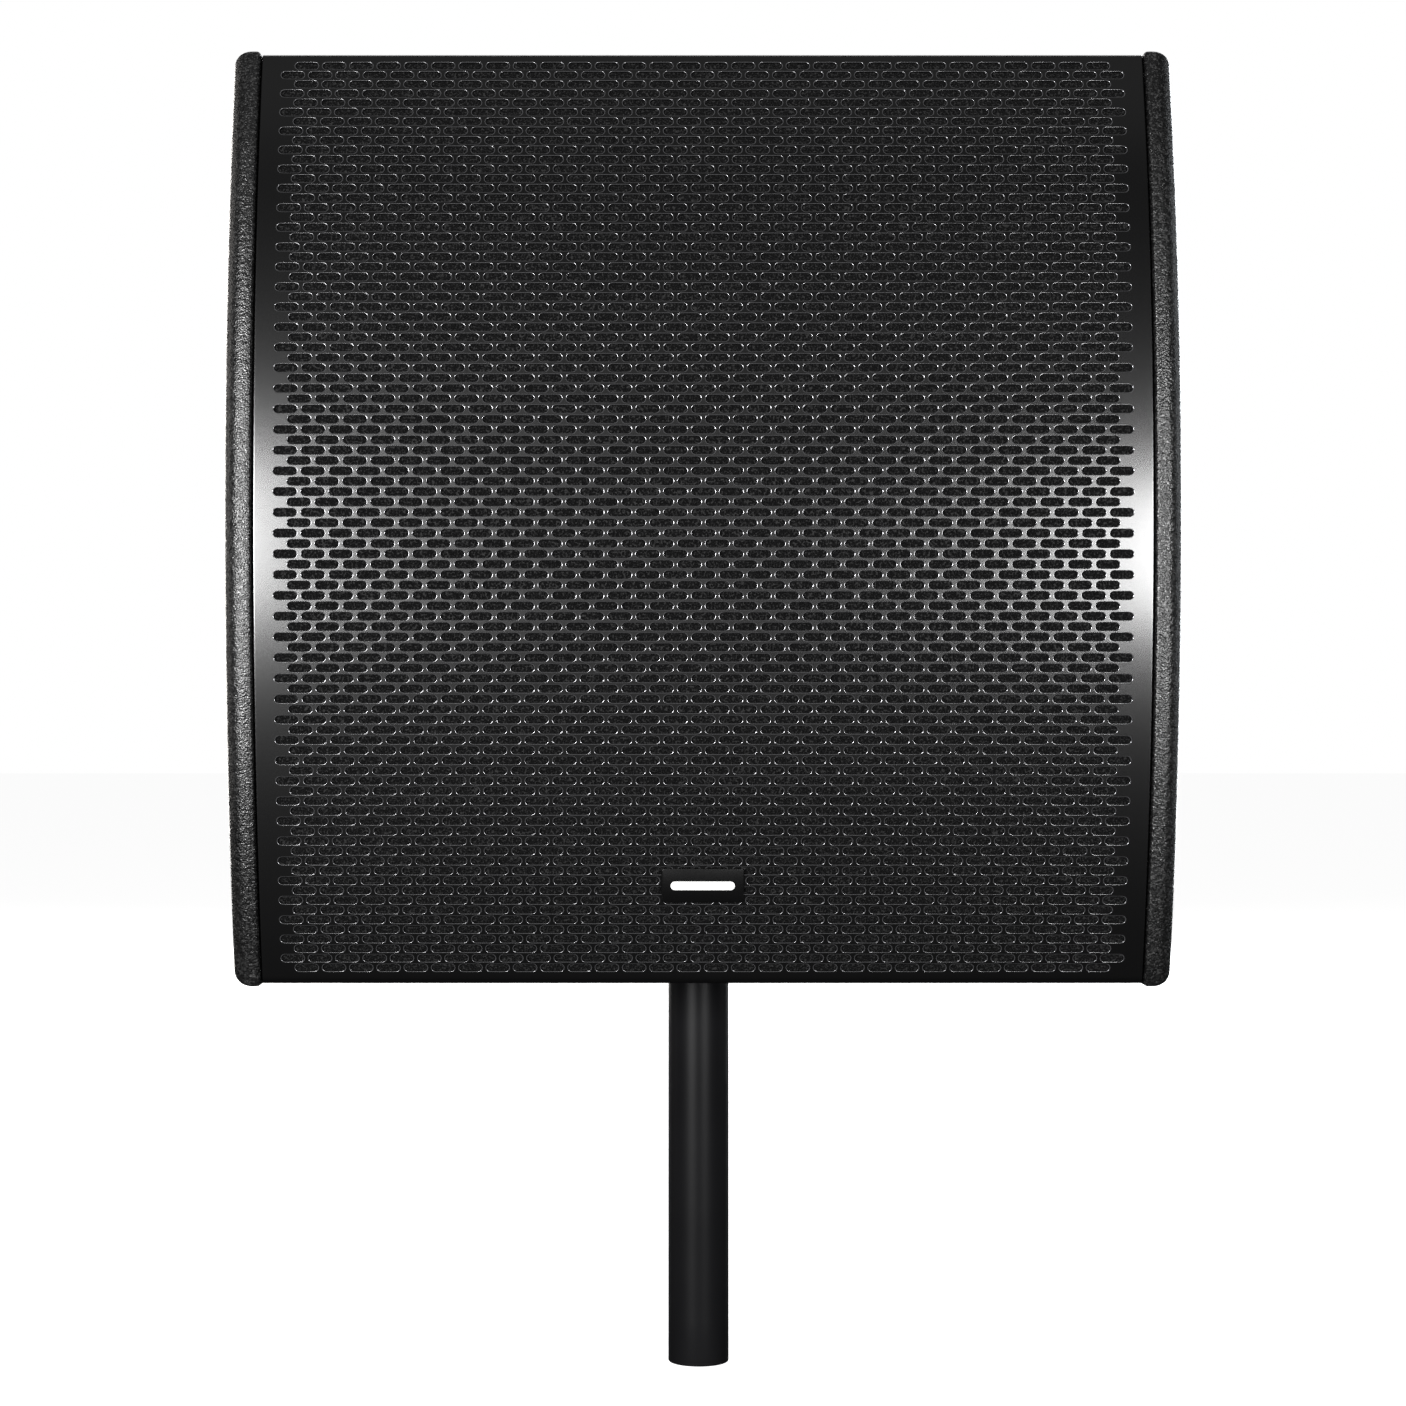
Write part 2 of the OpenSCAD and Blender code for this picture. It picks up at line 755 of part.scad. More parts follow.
module handle_grips() {
    bar_l = pocket_l - 2 * pocket_wall - slack;
    finger_gap = 14;
    sink = 3;
    color("#101011") for (side = [-1, 1])
        at_handle(side) translate([0, pocket_h / 2 - grip_r - finger_gap, -grip_r - sink])
            rotate([0, 90, 0]) cylinder(h = bar_l, r = grip_r, center = true);
}

module handle_screws() {
    color("#3a3a3c") for (side = [-1, 1])
        at_handle_screws(side) screw(sunk_head_r - slack, sunk_head_t, screw_r, 11);
}

// ---- Pole socket ----

function socket_cup_r() = pole_d / 2 + pole_clear + socket_wall;

module pole_socket() {
    lid_t = 3;
    flange_t = panel_inset - sheet_inset;
    flange_z = cab_bottom + sheet_inset;
    color("#303134") difference() {
        union() {
            translate([0, 0, flange_z]) cylinder(h = flange_t, r = socket_flange_r);
            translate([0, 0, flange_z]) cylinder(h = pole_in + lid_t - sheet_inset, r = socket_cup_r());
        }
        translate([0, 0, flange_z - 1]) cylinder(h = pole_in - sheet_inset + 1, r = pole_d / 2 + pole_clear);
        at_socket_screws() cylinder(h = 20, r = hole_r, center = true, $fn = 32);
    }
}

module pole_socket_screws() {
    color("#3a3a3c") at_socket_screws() screw(screw_head_r, screw_head_t, screw_r, 14);
}

// ---- Terminals ----

module at_inputs() {
    for (side = [-1, 1])
        translate([side * socket_pitch / 2, rear_out_y, terminal_z]) rotate([-90, 0, 0]) children();
}

module terminal_plate() {
    color("#2b2c2e") difference() {
        translate([0, rear_out_y, terminal_z]) rotate([90, 0, 0])
            linear_extrude(terminal_t) rounded_rect(terminal_w, terminal_h, 8);
        at_inputs() cylinder(h = 20, r = input_r + slack, center = true);
        at_terminal_screws() cylinder(h = 20, r = hole_r, center = true, $fn = 32);
    }
}

module input_sockets() {
    color("#17181a") at_inputs() difference() {
        union() {
            translate([0, 0, input_flange_t - input_l]) cylinder(h = input_l, r = input_r);
            linear_extrude(input_flange_t) rounded_rect(26, 31, 3);
        }
        translate([0, 0, input_flange_t - input_bore_l]) cylinder(h = input_bore_l + 1, r = input_bore_r);
    }
}

module input_tags() {
    tag = [5, 0.8, 8];
    color("#b99a4b") at_inputs() for (sx = [-1, 1])
        translate([sx * tag[0], 0, input_flange_t - input_l - tag[2] / 2]) cube(tag, center = true);
}

module terminal_screws() {
    head_r = 3.5;
    color("#3a3a3c") at_terminal_screws() screw(head_r, screw_head_t, screw_r, 12);
}

// ---- Crossover ----

module crossover_board() {
    color("#2f5d3a") translate([board_x, board_y, board_z]) cube([board_w, board_d, board_t]);
}

module board_posts() {
    inset = 8;
    color("#c8c8c4") for (dx = [inset, board_w - inset], dy = [inset, board_d - inset])
        translate([board_x + dx, board_y + dy, floor_z]) cylinder(h = post_h, r = 4, $fn = 32);
}

module inductors() {
    coil_h = 24;
    outer_r = 22;
    core_r = 10;
    color("#b0622a") for (spot = [[42, 25], [104, 70]])
        translate([board_x + spot[0], board_y + spot[1], board_top]) difference() {
            cylinder(h = coil_h, r = outer_r);
            translate([0, 0, -1]) cylinder(h = coil_h + 2, r = core_r);
        }
}

module capacitors() {
    can_r = 9;
    can_l = 40;
    can_x = 24;
    color("#c9c14a") for (dy = [57, 77])
        translate([board_x + can_x, board_y + dy, board_top + can_r])
            rotate([0, 90, 0]) cylinder(h = can_l, r = can_r);
}

module resistors() {
    block = [22, 9, 9];
    block_x = 98;
    color("#d8d5c8") for (dy = [4, 18])
        translate([board_x + block_x, board_y + dy, board_top]) cube(block);
}

module input_wires() {
    color("#a02828") lead(input_route, wire_r);
}

module driver_wires() {
    color("#a02828") lead(driver_route, wire_r, 4);
}

// ---- Feet ----

module rubber_feet() {
    recess_r = 5;
    recess_h = foot_recess_h;
    color("#0f0f10") at_feet() difference() {
        union() {
            cylinder(h = foot_h - 2, r1 = foot_r, r2 = foot_r - 1);
            translate([0, 0, foot_h - 2]) cylinder(h = 2, r1 = foot_r - 1, r2 = foot_r - 3);
        }
        translate([0, 0, foot_h - recess_h]) cylinder(h = recess_h + 1, r = recess_r, $fn = 48);
        translate([0, 0, -1]) cylinder(h = foot_h, r = hole_r, $fn = 32);
    }
}

module foot_screws() {
    head_t = 2;
    color("#8d8f92") at_feet() translate([0, 0, foot_h - foot_recess_h])
        screw(screw_head_r, head_t, screw_r, 16);
}

pole_tube();
pole_foot();
pole_cap();
side_panel_left();
side_panel_right();
top_panel();
bottom_panel();
rear_panel();
slant_panel();
baffle();
baffle_battens();
lining_slant();
lining_sides();
grille();
grille_foam();
grille_screws();
badge_plate();
badge_bar();
driver_frame();
driver_gasket();
driver_bolts();
woofer_cone();
voice_coil();
woofer_surround();
spider();
front_plate();
magnet();
back_plate();
driver_terminals();
horn();
compression_driver();
horn_diaphragm();
compression_cover();
port_tube_left();
port_tube_right();
handle_pocket_left();
handle_pocket_right();
handle_grips();
handle_screws();
pole_socket();
pole_socket_screws();
terminal_plate();
input_sockets();
input_tags();
terminal_screws();
crossover_board();
board_posts();
inductors();
capacitors();
resistors();
input_wires();
driver_wires();
rubber_feet();
foot_screws();
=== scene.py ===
"""Looks of the pole-mounted loudspeaker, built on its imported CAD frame.

Metres throughout, in the CAD's frame: the pole runs up +Z and the grille faces -Y.
Each CAD node keeps its place. Pieces with finer shapes stand for some of the nodes.
"""

import json
import math

import bmesh
import bpy
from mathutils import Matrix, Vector, noise


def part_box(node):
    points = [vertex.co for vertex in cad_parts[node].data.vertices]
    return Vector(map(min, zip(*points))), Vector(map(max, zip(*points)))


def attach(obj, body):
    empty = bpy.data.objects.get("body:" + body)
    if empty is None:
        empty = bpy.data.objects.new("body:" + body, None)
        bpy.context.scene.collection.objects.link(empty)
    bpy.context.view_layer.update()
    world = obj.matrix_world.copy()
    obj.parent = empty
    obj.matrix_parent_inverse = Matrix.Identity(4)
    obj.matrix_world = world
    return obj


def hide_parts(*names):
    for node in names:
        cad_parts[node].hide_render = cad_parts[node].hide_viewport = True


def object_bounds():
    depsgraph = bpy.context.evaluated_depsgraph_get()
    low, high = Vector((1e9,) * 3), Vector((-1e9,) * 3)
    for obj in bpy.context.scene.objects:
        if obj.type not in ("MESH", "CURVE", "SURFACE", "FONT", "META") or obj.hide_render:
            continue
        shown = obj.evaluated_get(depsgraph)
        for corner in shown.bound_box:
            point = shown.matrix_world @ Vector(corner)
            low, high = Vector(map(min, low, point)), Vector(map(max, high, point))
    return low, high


MM = 0.001

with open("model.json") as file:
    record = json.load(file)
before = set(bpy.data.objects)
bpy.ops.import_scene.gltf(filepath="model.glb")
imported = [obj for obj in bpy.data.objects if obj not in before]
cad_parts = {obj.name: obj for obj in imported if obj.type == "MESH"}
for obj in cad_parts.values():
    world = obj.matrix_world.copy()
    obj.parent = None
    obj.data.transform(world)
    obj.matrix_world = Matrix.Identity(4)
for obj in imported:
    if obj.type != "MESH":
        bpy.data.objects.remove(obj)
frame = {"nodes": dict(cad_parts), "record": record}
cad_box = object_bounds()
NODES = frame["nodes"]

# ---------------------------------------------------------------- driving sizes, from the frame
SIDE_LOW, SIDE_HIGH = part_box("side_panel_left")
HALF_W = -SIDE_LOW.x                       # half the cabinet's width
INNER_X = -SIDE_HIGH.x                     # inner face of a side panel
BOTTOM, TOP = SIDE_LOW.z, SIDE_HIGH.z      # cabinet's lower and upper edge
MID = (BOTTOM + TOP) / 2
FRONT_R = 850 * MM                         # radius of the bowed front edge, seen from the side
ARC_Y = SIDE_LOW.y + FRONT_R               # its centre
REAR_Y = SIDE_HIGH.y
KNEE_Z = BOTTOM + 190 * MM                 # where the upright rear edge ends
CREST_Y = -26 * MM                         # where the top edge ends
SHEET_T = 1.2 * MM
GRILLE_R = FRONT_R - 1.5 * MM
GRILLE_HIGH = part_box("grille")[1]
FOAM_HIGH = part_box("grille_foam")[1]


# ---------------------------------------------------------------- material kit

class Mat:
    """A node material with a short way to add nodes. Textures use object coordinates, in metres."""

    def __init__(self, name):
        self.mat = bpy.data.materials.new(name)
        self.mat.use_nodes = True
        self.tree = self.mat.node_tree
        self.tree.nodes.clear()
        self.out = self.add("ShaderNodeOutputMaterial")
        self.bsdf = self.add("ShaderNodeBsdfPrincipled")
        self.link(self.bsdf, "BSDF", self.out, "Surface")
        self.coord = self.add("ShaderNodeTexCoord")

    def add(self, kind, **values):
        node = self.tree.nodes.new(kind)
        for key, value in values.items():
            if hasattr(node, key):
                setattr(node, key, value)
            else:
                node.inputs[key.replace("_", " ")].default_value = value
        return node

    def link(self, a, a_socket, b, b_socket):
        self.tree.links.new(a.outputs[a_socket], b.inputs[b_socket])

    def point(self, scale=(1, 1, 1)):
        mapping = self.add("ShaderNodeMapping")
        mapping.inputs["Scale"].default_value = scale
        self.link(self.coord, "Object", mapping, "Vector")
        return mapping

    def noise(self, scale, detail=3.0, rough=0.55, stretch=(1, 1, 1), distortion=0.0):
        tex = self.add("ShaderNodeTexNoise", Scale=scale, Detail=detail, Roughness=rough,
                       Distortion=distortion)
        self.link(self.point(stretch), "Vector", tex, "Vector")
        return tex, "Fac"

    def cells(self, scale, feature="F1"):
        tex = self.add("ShaderNodeTexVoronoi", feature=feature, Scale=scale)
        self.link(self.point(), "Vector", tex, "Vector")
        return tex, "Distance"

    def ramp(self, source, stops):
        ramp = self.add("ShaderNodeValToRGB")
        elements = ramp.color_ramp.elements
        while len(elements) < len(stops):
            elements.new(0.5)
        for element, (at, value) in zip(elements, stops):
            element.position = at
            element.color = tuple(value) + (1,) if hasattr(value, "__len__") else (value, value, value, 1)
        self.link(source[0], source[1], ramp, "Fac")
        return ramp, "Color"

    def spread(self, source, low, high, at=(0.35, 0.65)):
        """The source mapped to the span low..high."""
        node = self.add("ShaderNodeMapRange")
        node.inputs["From Min"].default_value, node.inputs["From Max"].default_value = at
        node.inputs["To Min"].default_value, node.inputs["To Max"].default_value = low, high
        self.link(source[0], source[1], node, "Value")
        return node, "Result"

    def maths(self, operation, a, b):
        node = self.add("ShaderNodeMath", operation=operation)
        for k, value in enumerate((a, b)):
            if isinstance(value, tuple):
                self.tree.links.new(value[0].outputs[value[1]], node.inputs[k])
            else:
                node.inputs[k].default_value = value
        return node, "Value"

    def mixed(self, factor, a, b):
        """Colour a where the factor is 0 and b where it is 1."""
        node = self.add("ShaderNodeMix", data_type="RGBA")
        for socket, value in ((node.inputs[6], a), (node.inputs[7], b)):
            if isinstance(value[0], bpy.types.Node):
                self.tree.links.new(value[0].outputs[value[1]], socket)
            else:
                socket.default_value = tuple(value) + (1,)
        self.tree.links.new(factor[0].outputs[factor[1]], node.inputs[0])
        return node, 2

    def feed(self, socket, source):
        self.tree.links.new(source[0].outputs[source[1]], self.bsdf.inputs[socket])

    def base(self, rough=None, metal=None, **more):
        if rough is not None:
            self.bsdf.inputs["Roughness"].default_value = rough
        if metal is not None:
            self.bsdf.inputs["Metallic"].default_value = metal
        for key, value in more.items():
            self.bsdf.inputs[key.replace("_", " ")].default_value = value

    def bump(self, source, depth, after=None):
        """Depth is the height in metres of the source's full span."""
        node = self.add("ShaderNodeBump", Strength=1.0, Distance=depth)
        self.link(source[0], source[1], node, "Height")
        if after is not None:
            self.link(after, "Normal", node, "Normal")
        self.link(node, "Normal", self.bsdf, "Normal")
        return node

    def edges(self, low, high):
        """1 on sharp outer edges, 0 on flats."""
        geometry = self.add("ShaderNodeNewGeometry")
        return self.spread((geometry, "Pointiness"), 0.0, 1.0, (low, high))


def polyurea(name):
    """The hard speckled black coat of touring cabinets: blobs, fine beads on them, paler grains."""
    dark, light, grain = 0.0025, 0.006, 0.025
    m = Mat(name)
    m.base(Specular_IOR_Level=0.65)
    blobs = m.noise(420, 2.0, 0.5)
    beads = m.cells(1100)
    drift = m.noise(14, 3.0, 0.5)
    each = m.add("ShaderNodeSeparateColor")
    m.link(beads[0], "Color", each, "Color")
    tone = m.maths("ADD", m.maths("MULTIPLY", blobs, 0.6), m.maths("MULTIPLY", drift, 0.4))
    ground = m.ramp(tone, [(0.38, (dark, dark, dark * 1.03)), (0.64, (light, light, light * 1.03))])
    pale = m.spread((each, "Red"), 0.0, 1.0, (0.80, 0.88))
    m.feed("Base Color", m.mixed(pale, ground, (grain, grain, grain)))
    m.feed("Roughness", m.spread((each, "Green"), 0.20, 0.38, (0.0, 1.0)))
    coarse = m.bump(m.spread(blobs, 0.0, 1.0, (0.3, 0.7)), 0.14 * MM)
    m.bump(m.spread(beads, 1.0, 0.0, (0.0, 0.8)), 0.15 * MM, after=coarse)
    return m.mat


def powder_coat(name, colour, rough=(0.28, 0.42), peel=0.03, grain=1500, worn=True, gloss_level=0.5):
    """Satin powder coat: fine orange peel, slight change of gloss, edges rubbed a little paler."""
    m = Mat(name)
    m.base(Specular_IOR_Level=gloss_level)
    speck = m.noise(grain, 2.0, 0.5)
    drift = m.noise(9, 3.0, 0.55)
    tone = m.ramp(drift, [(0.3, tuple(c * 0.85 for c in colour)), (0.7, tuple(c * 1.15 for c in colour))])
    if worn:
        patch = m.maths("MULTIPLY", m.edges(0.53, 0.66), m.spread(m.noise(60, 4.0), 0.0, 0.5))
        tone = m.mixed(patch, tone, tuple(c * 2.4 + 0.01 for c in colour))
    m.feed("Base Color", tone)
    gloss = m.maths("ADD", m.maths("MULTIPLY", drift, 0.5), m.maths("MULTIPLY", speck, 0.5))
    m.feed("Roughness", m.spread(gloss, rough[0], rough[1]))
    m.bump(m.spread(speck, 0.0, 1.0, (0.3, 0.7)), peel * MM)
    return m.mat


def moulded(name, colour, rough=(0.38, 0.55), grain=1100, depth=0.05):
    """Moulded plastic or rubber with a spark-eroded grain."""
    m = Mat(name)
    m.base(Specular_IOR_Level=0.45)
    speck = m.noise(grain, 3.0, 0.6)
    drift = m.noise(22, 2.0)
    m.feed("Base Color", m.ramp(drift, [(0.3, tuple(c * 0.82 for c in colour)),
                                        (0.7, tuple(c * 1.18 for c in colour))]))
    m.feed("Roughness", m.spread(speck, rough[0], rough[1]))
    m.bump(m.spread(speck, 0.0, 1.0, (0.3, 0.7)), depth * MM)
    return m.mat


def bare_metal(name, colour, rough=(0.22, 0.42), stretch=(1, 1, 1), grain=700):
    """Turned, drawn or brushed metal. A small stretch draws the marks out along that axis."""
    m = Mat(name)
    m.base(metal=1.0)
    lines = m.noise(grain, 3.0, 0.6, stretch)
    stain = m.noise(45, 4.0, 0.6)
    m.feed("Base Color", m.ramp(stain, [(0.3, tuple(c * 0.72 for c in colour)), (0.68, colour)]))
    gloss = m.maths("ADD", m.maths("MULTIPLY", lines, 0.6), m.maths("MULTIPLY", stain, 0.4))
    m.feed("Roughness", m.spread(gloss, rough[0], rough[1]))
    m.bump(m.spread(lines, 0.0, 1.0, (0.3, 0.7)), 0.01 * MM)
    return m.mat


def wood(name, colour, dark, coat=False):
    """Long-grained timber or stained ply, with the grain along X."""
    m = Mat(name)
    m.base(Specular_IOR_Level=0.25)
    grain = m.noise(170, 5.0, 0.62, (0.06, 1, 1), 0.4)
    pores = m.noise(1200, 2.0, 0.5, (0.05, 1, 1))
    m.feed("Base Color", m.ramp(grain, [(0.32, dark), (0.66, colour)]))
    m.feed("Roughness", m.spread(pores, 0.45 if coat else 0.6, 0.75 if coat else 0.85))
    relief = m.maths("ADD", m.maths("MULTIPLY", grain, 0.5), m.maths("MULTIPLY", pores, 0.5))
    m.bump(m.spread(relief, 0.0, 1.0), 0.12 * MM)
    return m.mat


def fibres(name, colour, dark, scale, depth):
    """Wadding: tangled fibres in soft clumps."""
    m = Mat(name)
    m.base(Specular_IOR_Level=0.1)
    m.bsdf.inputs["Sheen Weight"].default_value = 0.25
    hair = m.noise(scale, 6.0, 0.75, (1, 1, 1), 1.2)
    clump = m.noise(scale / 12, 3.0, 0.6)
    tone = m.maths("ADD", m.maths("MULTIPLY", hair, 0.6), m.maths("MULTIPLY", clump, 0.4))
    m.feed("Base Color", m.ramp(tone, [(0.34, dark), (0.66, colour)]))
    m.feed("Roughness", m.spread(hair, 0.75, 0.98))
    m.bump(m.spread(hair, 0.0, 1.0, (0.3, 0.7)), depth * MM)
    return m.mat


def open_foam(name):
    """Black open-cell foam: small dark pores between dull struts."""
    m = Mat(name)
    m.base(Specular_IOR_Level=0.12)
    pores = m.cells(1150)
    struts = m.noise(1900, 2.0, 0.6)
    m.feed("Base Color", m.ramp(pores, [(0.3, (0.0008, 0.0008, 0.0009)), (0.6, (0.0035, 0.0035, 0.0037)),
                                        (0.85, (0.018, 0.018, 0.018))]))
    m.feed("Roughness", m.spread(struts, 0.6, 0.95))
    m.bump(m.spread(pores, 0.0, 1.0, (0.1, 0.7)), 0.5 * MM)
    return m.mat


def woven(name, colour, dark):
    """Plain-woven cloth stiffened with dope or resin."""
    pitch = 1.1 * MM
    m = Mat(name)
    m.base(Specular_IOR_Level=0.3)
    waves = []
    for axis in ("X", "Z"):
        wave = m.add("ShaderNodeTexWave", wave_type="BANDS", bands_direction=axis)
        wave.inputs["Scale"].default_value = 0.314 / pitch
        wave.inputs["Distortion"].default_value = 0.6
        m.link(m.coord, "Object", wave, "Vector")
        waves.append((wave, "Fac"))
    weave = m.maths("MULTIPLY", waves[0], waves[1])
    m.feed("Base Color", m.ramp(weave, [(0.1, dark), (0.7, colour)]))
    m.feed("Roughness", m.spread(m.noise(500), 0.55, 0.8))
    m.bump(weave, 0.25 * MM)
    return m.mat


def pulp(name):
    """Pressed paper cone: soft fibre relief."""
    m = Mat(name)
    m.base(Specular_IOR_Level=0.35)
    fibre = m.noise(520, 6.0, 0.7, (1, 1, 1), 1.0)
    m.feed("Base Color", m.ramp(fibre, [(0.35, (0.012, 0.012, 0.014)), (0.68, (0.034, 0.034, 0.038))]))
    m.feed("Roughness", m.spread(fibre, 0.5, 0.8))
    m.bump(m.spread(fibre, 0.0, 1.0, (0.3, 0.7)), 0.25 * MM)
    return m.mat


def laminate(name):
    """Green circuit board with pale tinned patches."""
    m = Mat(name)
    m.base(Specular_IOR_Level=0.6)
    weave = m.noise(900, 2.0)
    islands = m.cells(130, "DISTANCE_TO_EDGE")
    board = m.ramp(weave, [(0.35, (0.008, 0.050, 0.022)), (0.65, (0.016, 0.085, 0.036))])
    m.feed("Base Color", m.mixed(m.spread(islands, 0.35, 0.0, (0.0, 0.05)), board, (0.02, 0.14, 0.06)))
    m.feed("Roughness", m.spread(weave, 0.25, 0.4))
    m.bump(m.spread(islands, 1.0, 0.0, (0.0, 0.08)), 0.05 * MM)
    return m.mat


def winding(name, colour, dark, pitch, axis="Z"):
    """Enamelled wire laid turn by turn."""
    m = Mat(name)
    m.base(metal=0.85)
    wave = m.add("ShaderNodeTexWave", wave_type="BANDS", bands_direction=axis, wave_profile="SIN")
    wave.inputs["Scale"].default_value = 0.314 / pitch
    wave.inputs["Distortion"].default_value = 0.15
    m.link(m.coord, "Object", wave, "Vector")
    m.feed("Base Color", m.ramp((wave, "Fac"), [(0.1, dark), (0.6, colour)]))
    m.feed("Roughness", m.spread(m.noise(300), 0.25, 0.4))
    m.bump((wave, "Fac"), pitch * 0.5)
    return m.mat


# ---------------------------------------------------------------- mesh kit

WELD_GAP = 1e-6


def make(name, verts, faces, material):
    mesh = bpy.data.meshes.new(name)
    mesh.from_pydata([tuple(v) for v in verts], [], faces)
    mesh.validate(clean_customdata=False)
    mesh.materials.append(material)
    mesh.polygons.foreach_set("use_smooth", [True] * len(mesh.polygons))
    mesh.update()
    obj = bpy.data.objects.new(name, mesh)
    bpy.context.scene.collection.objects.link(obj)
    return obj


def face_out(obj):
    """Turns every closed shell's faces outward."""
    bm = bmesh.new()
    bm.from_mesh(obj.data)
    bmesh.ops.recalc_face_normals(bm, faces=bm.faces)
    bm.to_mesh(obj.data)
    bm.free()
    return obj


def keep_edges(obj, degrees=32):
    """Smooth shading up to that angle between faces."""
    obj.data.set_sharp_from_angle(angle=math.radians(degrees))
    return obj


def settle(obj):
    """The object's modifiers worked into its mesh."""
    graph = bpy.context.evaluated_depsgraph_get()
    mesh = bpy.data.meshes.new_from_object(obj.evaluated_get(graph))
    old = obj.data
    obj.modifiers.clear()
    obj.data = mesh
    bpy.data.meshes.remove(old)
    return obj


def loft(rings, closed=True, caps=(True, True)):
    """Vertices and faces of a skin through rings of equal length."""
    verts, faces = [], []
    n = len(rings[0])
    for ring in rings:
        verts.extend(ring)
    for i in range(len(rings) - 1):
        for k in range(n if closed else n - 1):
            a, b = i * n + k, i * n + (k + 1) % n
            faces.append((a, b, b + n, a + n))
    if caps[0]:
        faces.append(tuple(reversed(range(n))))
    if caps[1]:
        last = (len(rings) - 1) * n
        faces.append(tuple(range(last, last + n)))
    return verts, faces


def lathe(name, profile, origin, axis, material, sides=96, closed=False):
    """A turned piece. The profile is a list of (radius, height along the axis)."""
    turn = Vector((0, 0, 1)).rotation_difference(Vector(axis)).to_matrix()
    origin = Vector(origin)
    rings = []
    for r, h in profile:
        rings.append([origin + turn @ Vector((r * math.cos(a), r * math.sin(a), h))
                      for a in (2 * math.pi * k / sides for k in range(sides))])
    if closed:
        rings.append(rings[0])
    verts, faces = loft(rings, caps=(not closed, not closed))
    obj = face_out(make(name, verts, faces, material))
    if closed:
        weld(obj)
    return keep_edges(obj)


def weld(obj):
    bm = bmesh.new()
    bm.from_mesh(obj.data)
    bmesh.ops.remove_doubles(bm, verts=bm.verts, dist=WELD_GAP)
    bmesh.ops.recalc_face_normals(bm, faces=bm.faces)
    bm.to_mesh(obj.data)
    bm.free()


def arc(cx, cy, r, a0, a1, steps):
    """Points of an arc, angles in degrees."""
    return [(cx + r * math.cos(math.radians(a0 + (a1 - a0) * k / steps)),
             cy + r * math.sin(math.radians(a0 + (a1 - a0) * k / steps))) for k in range(steps + 1)]


def place(obj, body, slot_name, *nodes):
    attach(obj, body)
    if nodes:
        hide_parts(*nodes)
    return obj


# ---------------------------------------------------------------- camera

EYE = Vector((-25 * MM, -1676 * MM, BOTTOM + 151 * MM))
camera_data = bpy.data.cameras.new("camera")
camera_data.sensor_width = 36
camera_data.lens = 74.0
camera_data.shift_x = 0.0339
camera_data.clip_start = 0.05
camera_data.clip_end = 60
camera = bpy.data.objects.new("camera", camera_data)
camera.location = EYE
camera.rotation_euler = (math.radians(90), 0, 0)
bpy.context.scene.collection.objects.link(camera)
bpy.context.scene.camera = camera

# ---------------------------------------------------------------- grille

SLOT_PITCH = 14.50 * MM                    # along a row
ROW_PITCH = 5.40 * MM                      # from row to row, along the bowed sheet
SLOT_L = 12.2 * MM
SLOT_H = 4.0 * MM
BEND_R = 4.2 * MM                          # outside radius of the sheet's two bends
FIRST_ROW = -241.94 * MM                   # a short row; rows count up from here
ROWS = range(0, 91)
LONG_ROW = 31                              # slots in a long row; the short rows between have one fewer
GRILLE_X = GRILLE_HIGH.x - 0.05 * MM
HALF_H = GRILLE_HIGH.z - MID - 0.05 * MM
FLANGE_Y = GRILLE_HIGH.y - 0.05 * MM


class Profile:
    """The sheet's outer face seen from the side: flange, bend, bowed front, bend, flange.
    v runs along it from the middle of the front, up and down alike."""

    def __init__(self, radius, half_h, bend, flange_y):
        self.radius, self.half_h, self.bend = radius, half_h, bend
        reach = math.sqrt((radius - bend) ** 2 - (half_h - bend) ** 2)
        self.bend_y = ARC_Y - reach
        self.turn = math.atan2(half_h - bend, reach)
        self.arc_l = radius * self.turn
        self.bend_l = bend * (math.pi / 2 - self.turn)
        self.total = self.arc_l + self.bend_l + flange_y - self.bend_y

    def at(self, v):
        """(y, z, outward y, outward z) at v."""
        s, side = abs(v), 1 if v >= 0 else -1
        if s <= self.arc_l:
            a = s / self.radius
            ny, nz = -math.cos(a), math.sin(a)
            y, z = ARC_Y + self.radius * ny, self.radius * nz
        elif s <= self.arc_l + self.bend_l:
            a = self.turn + (s - self.arc_l) / self.bend
            ny, nz = -math.cos(a), math.sin(a)
            y, z = self.bend_y + self.bend * ny, self.half_h - self.bend + self.bend * nz
        else:
            ny, nz = 0.0, 1.0
            y, z = self.bend_y + s - self.arc_l - self.bend_l, self.half_h
        return y, MID + side * z, ny, side * nz

    def point(self, u, v, depth):
        y, z, ny, nz = self.at(v)
        return (u, y - ny * depth, z - nz * depth)


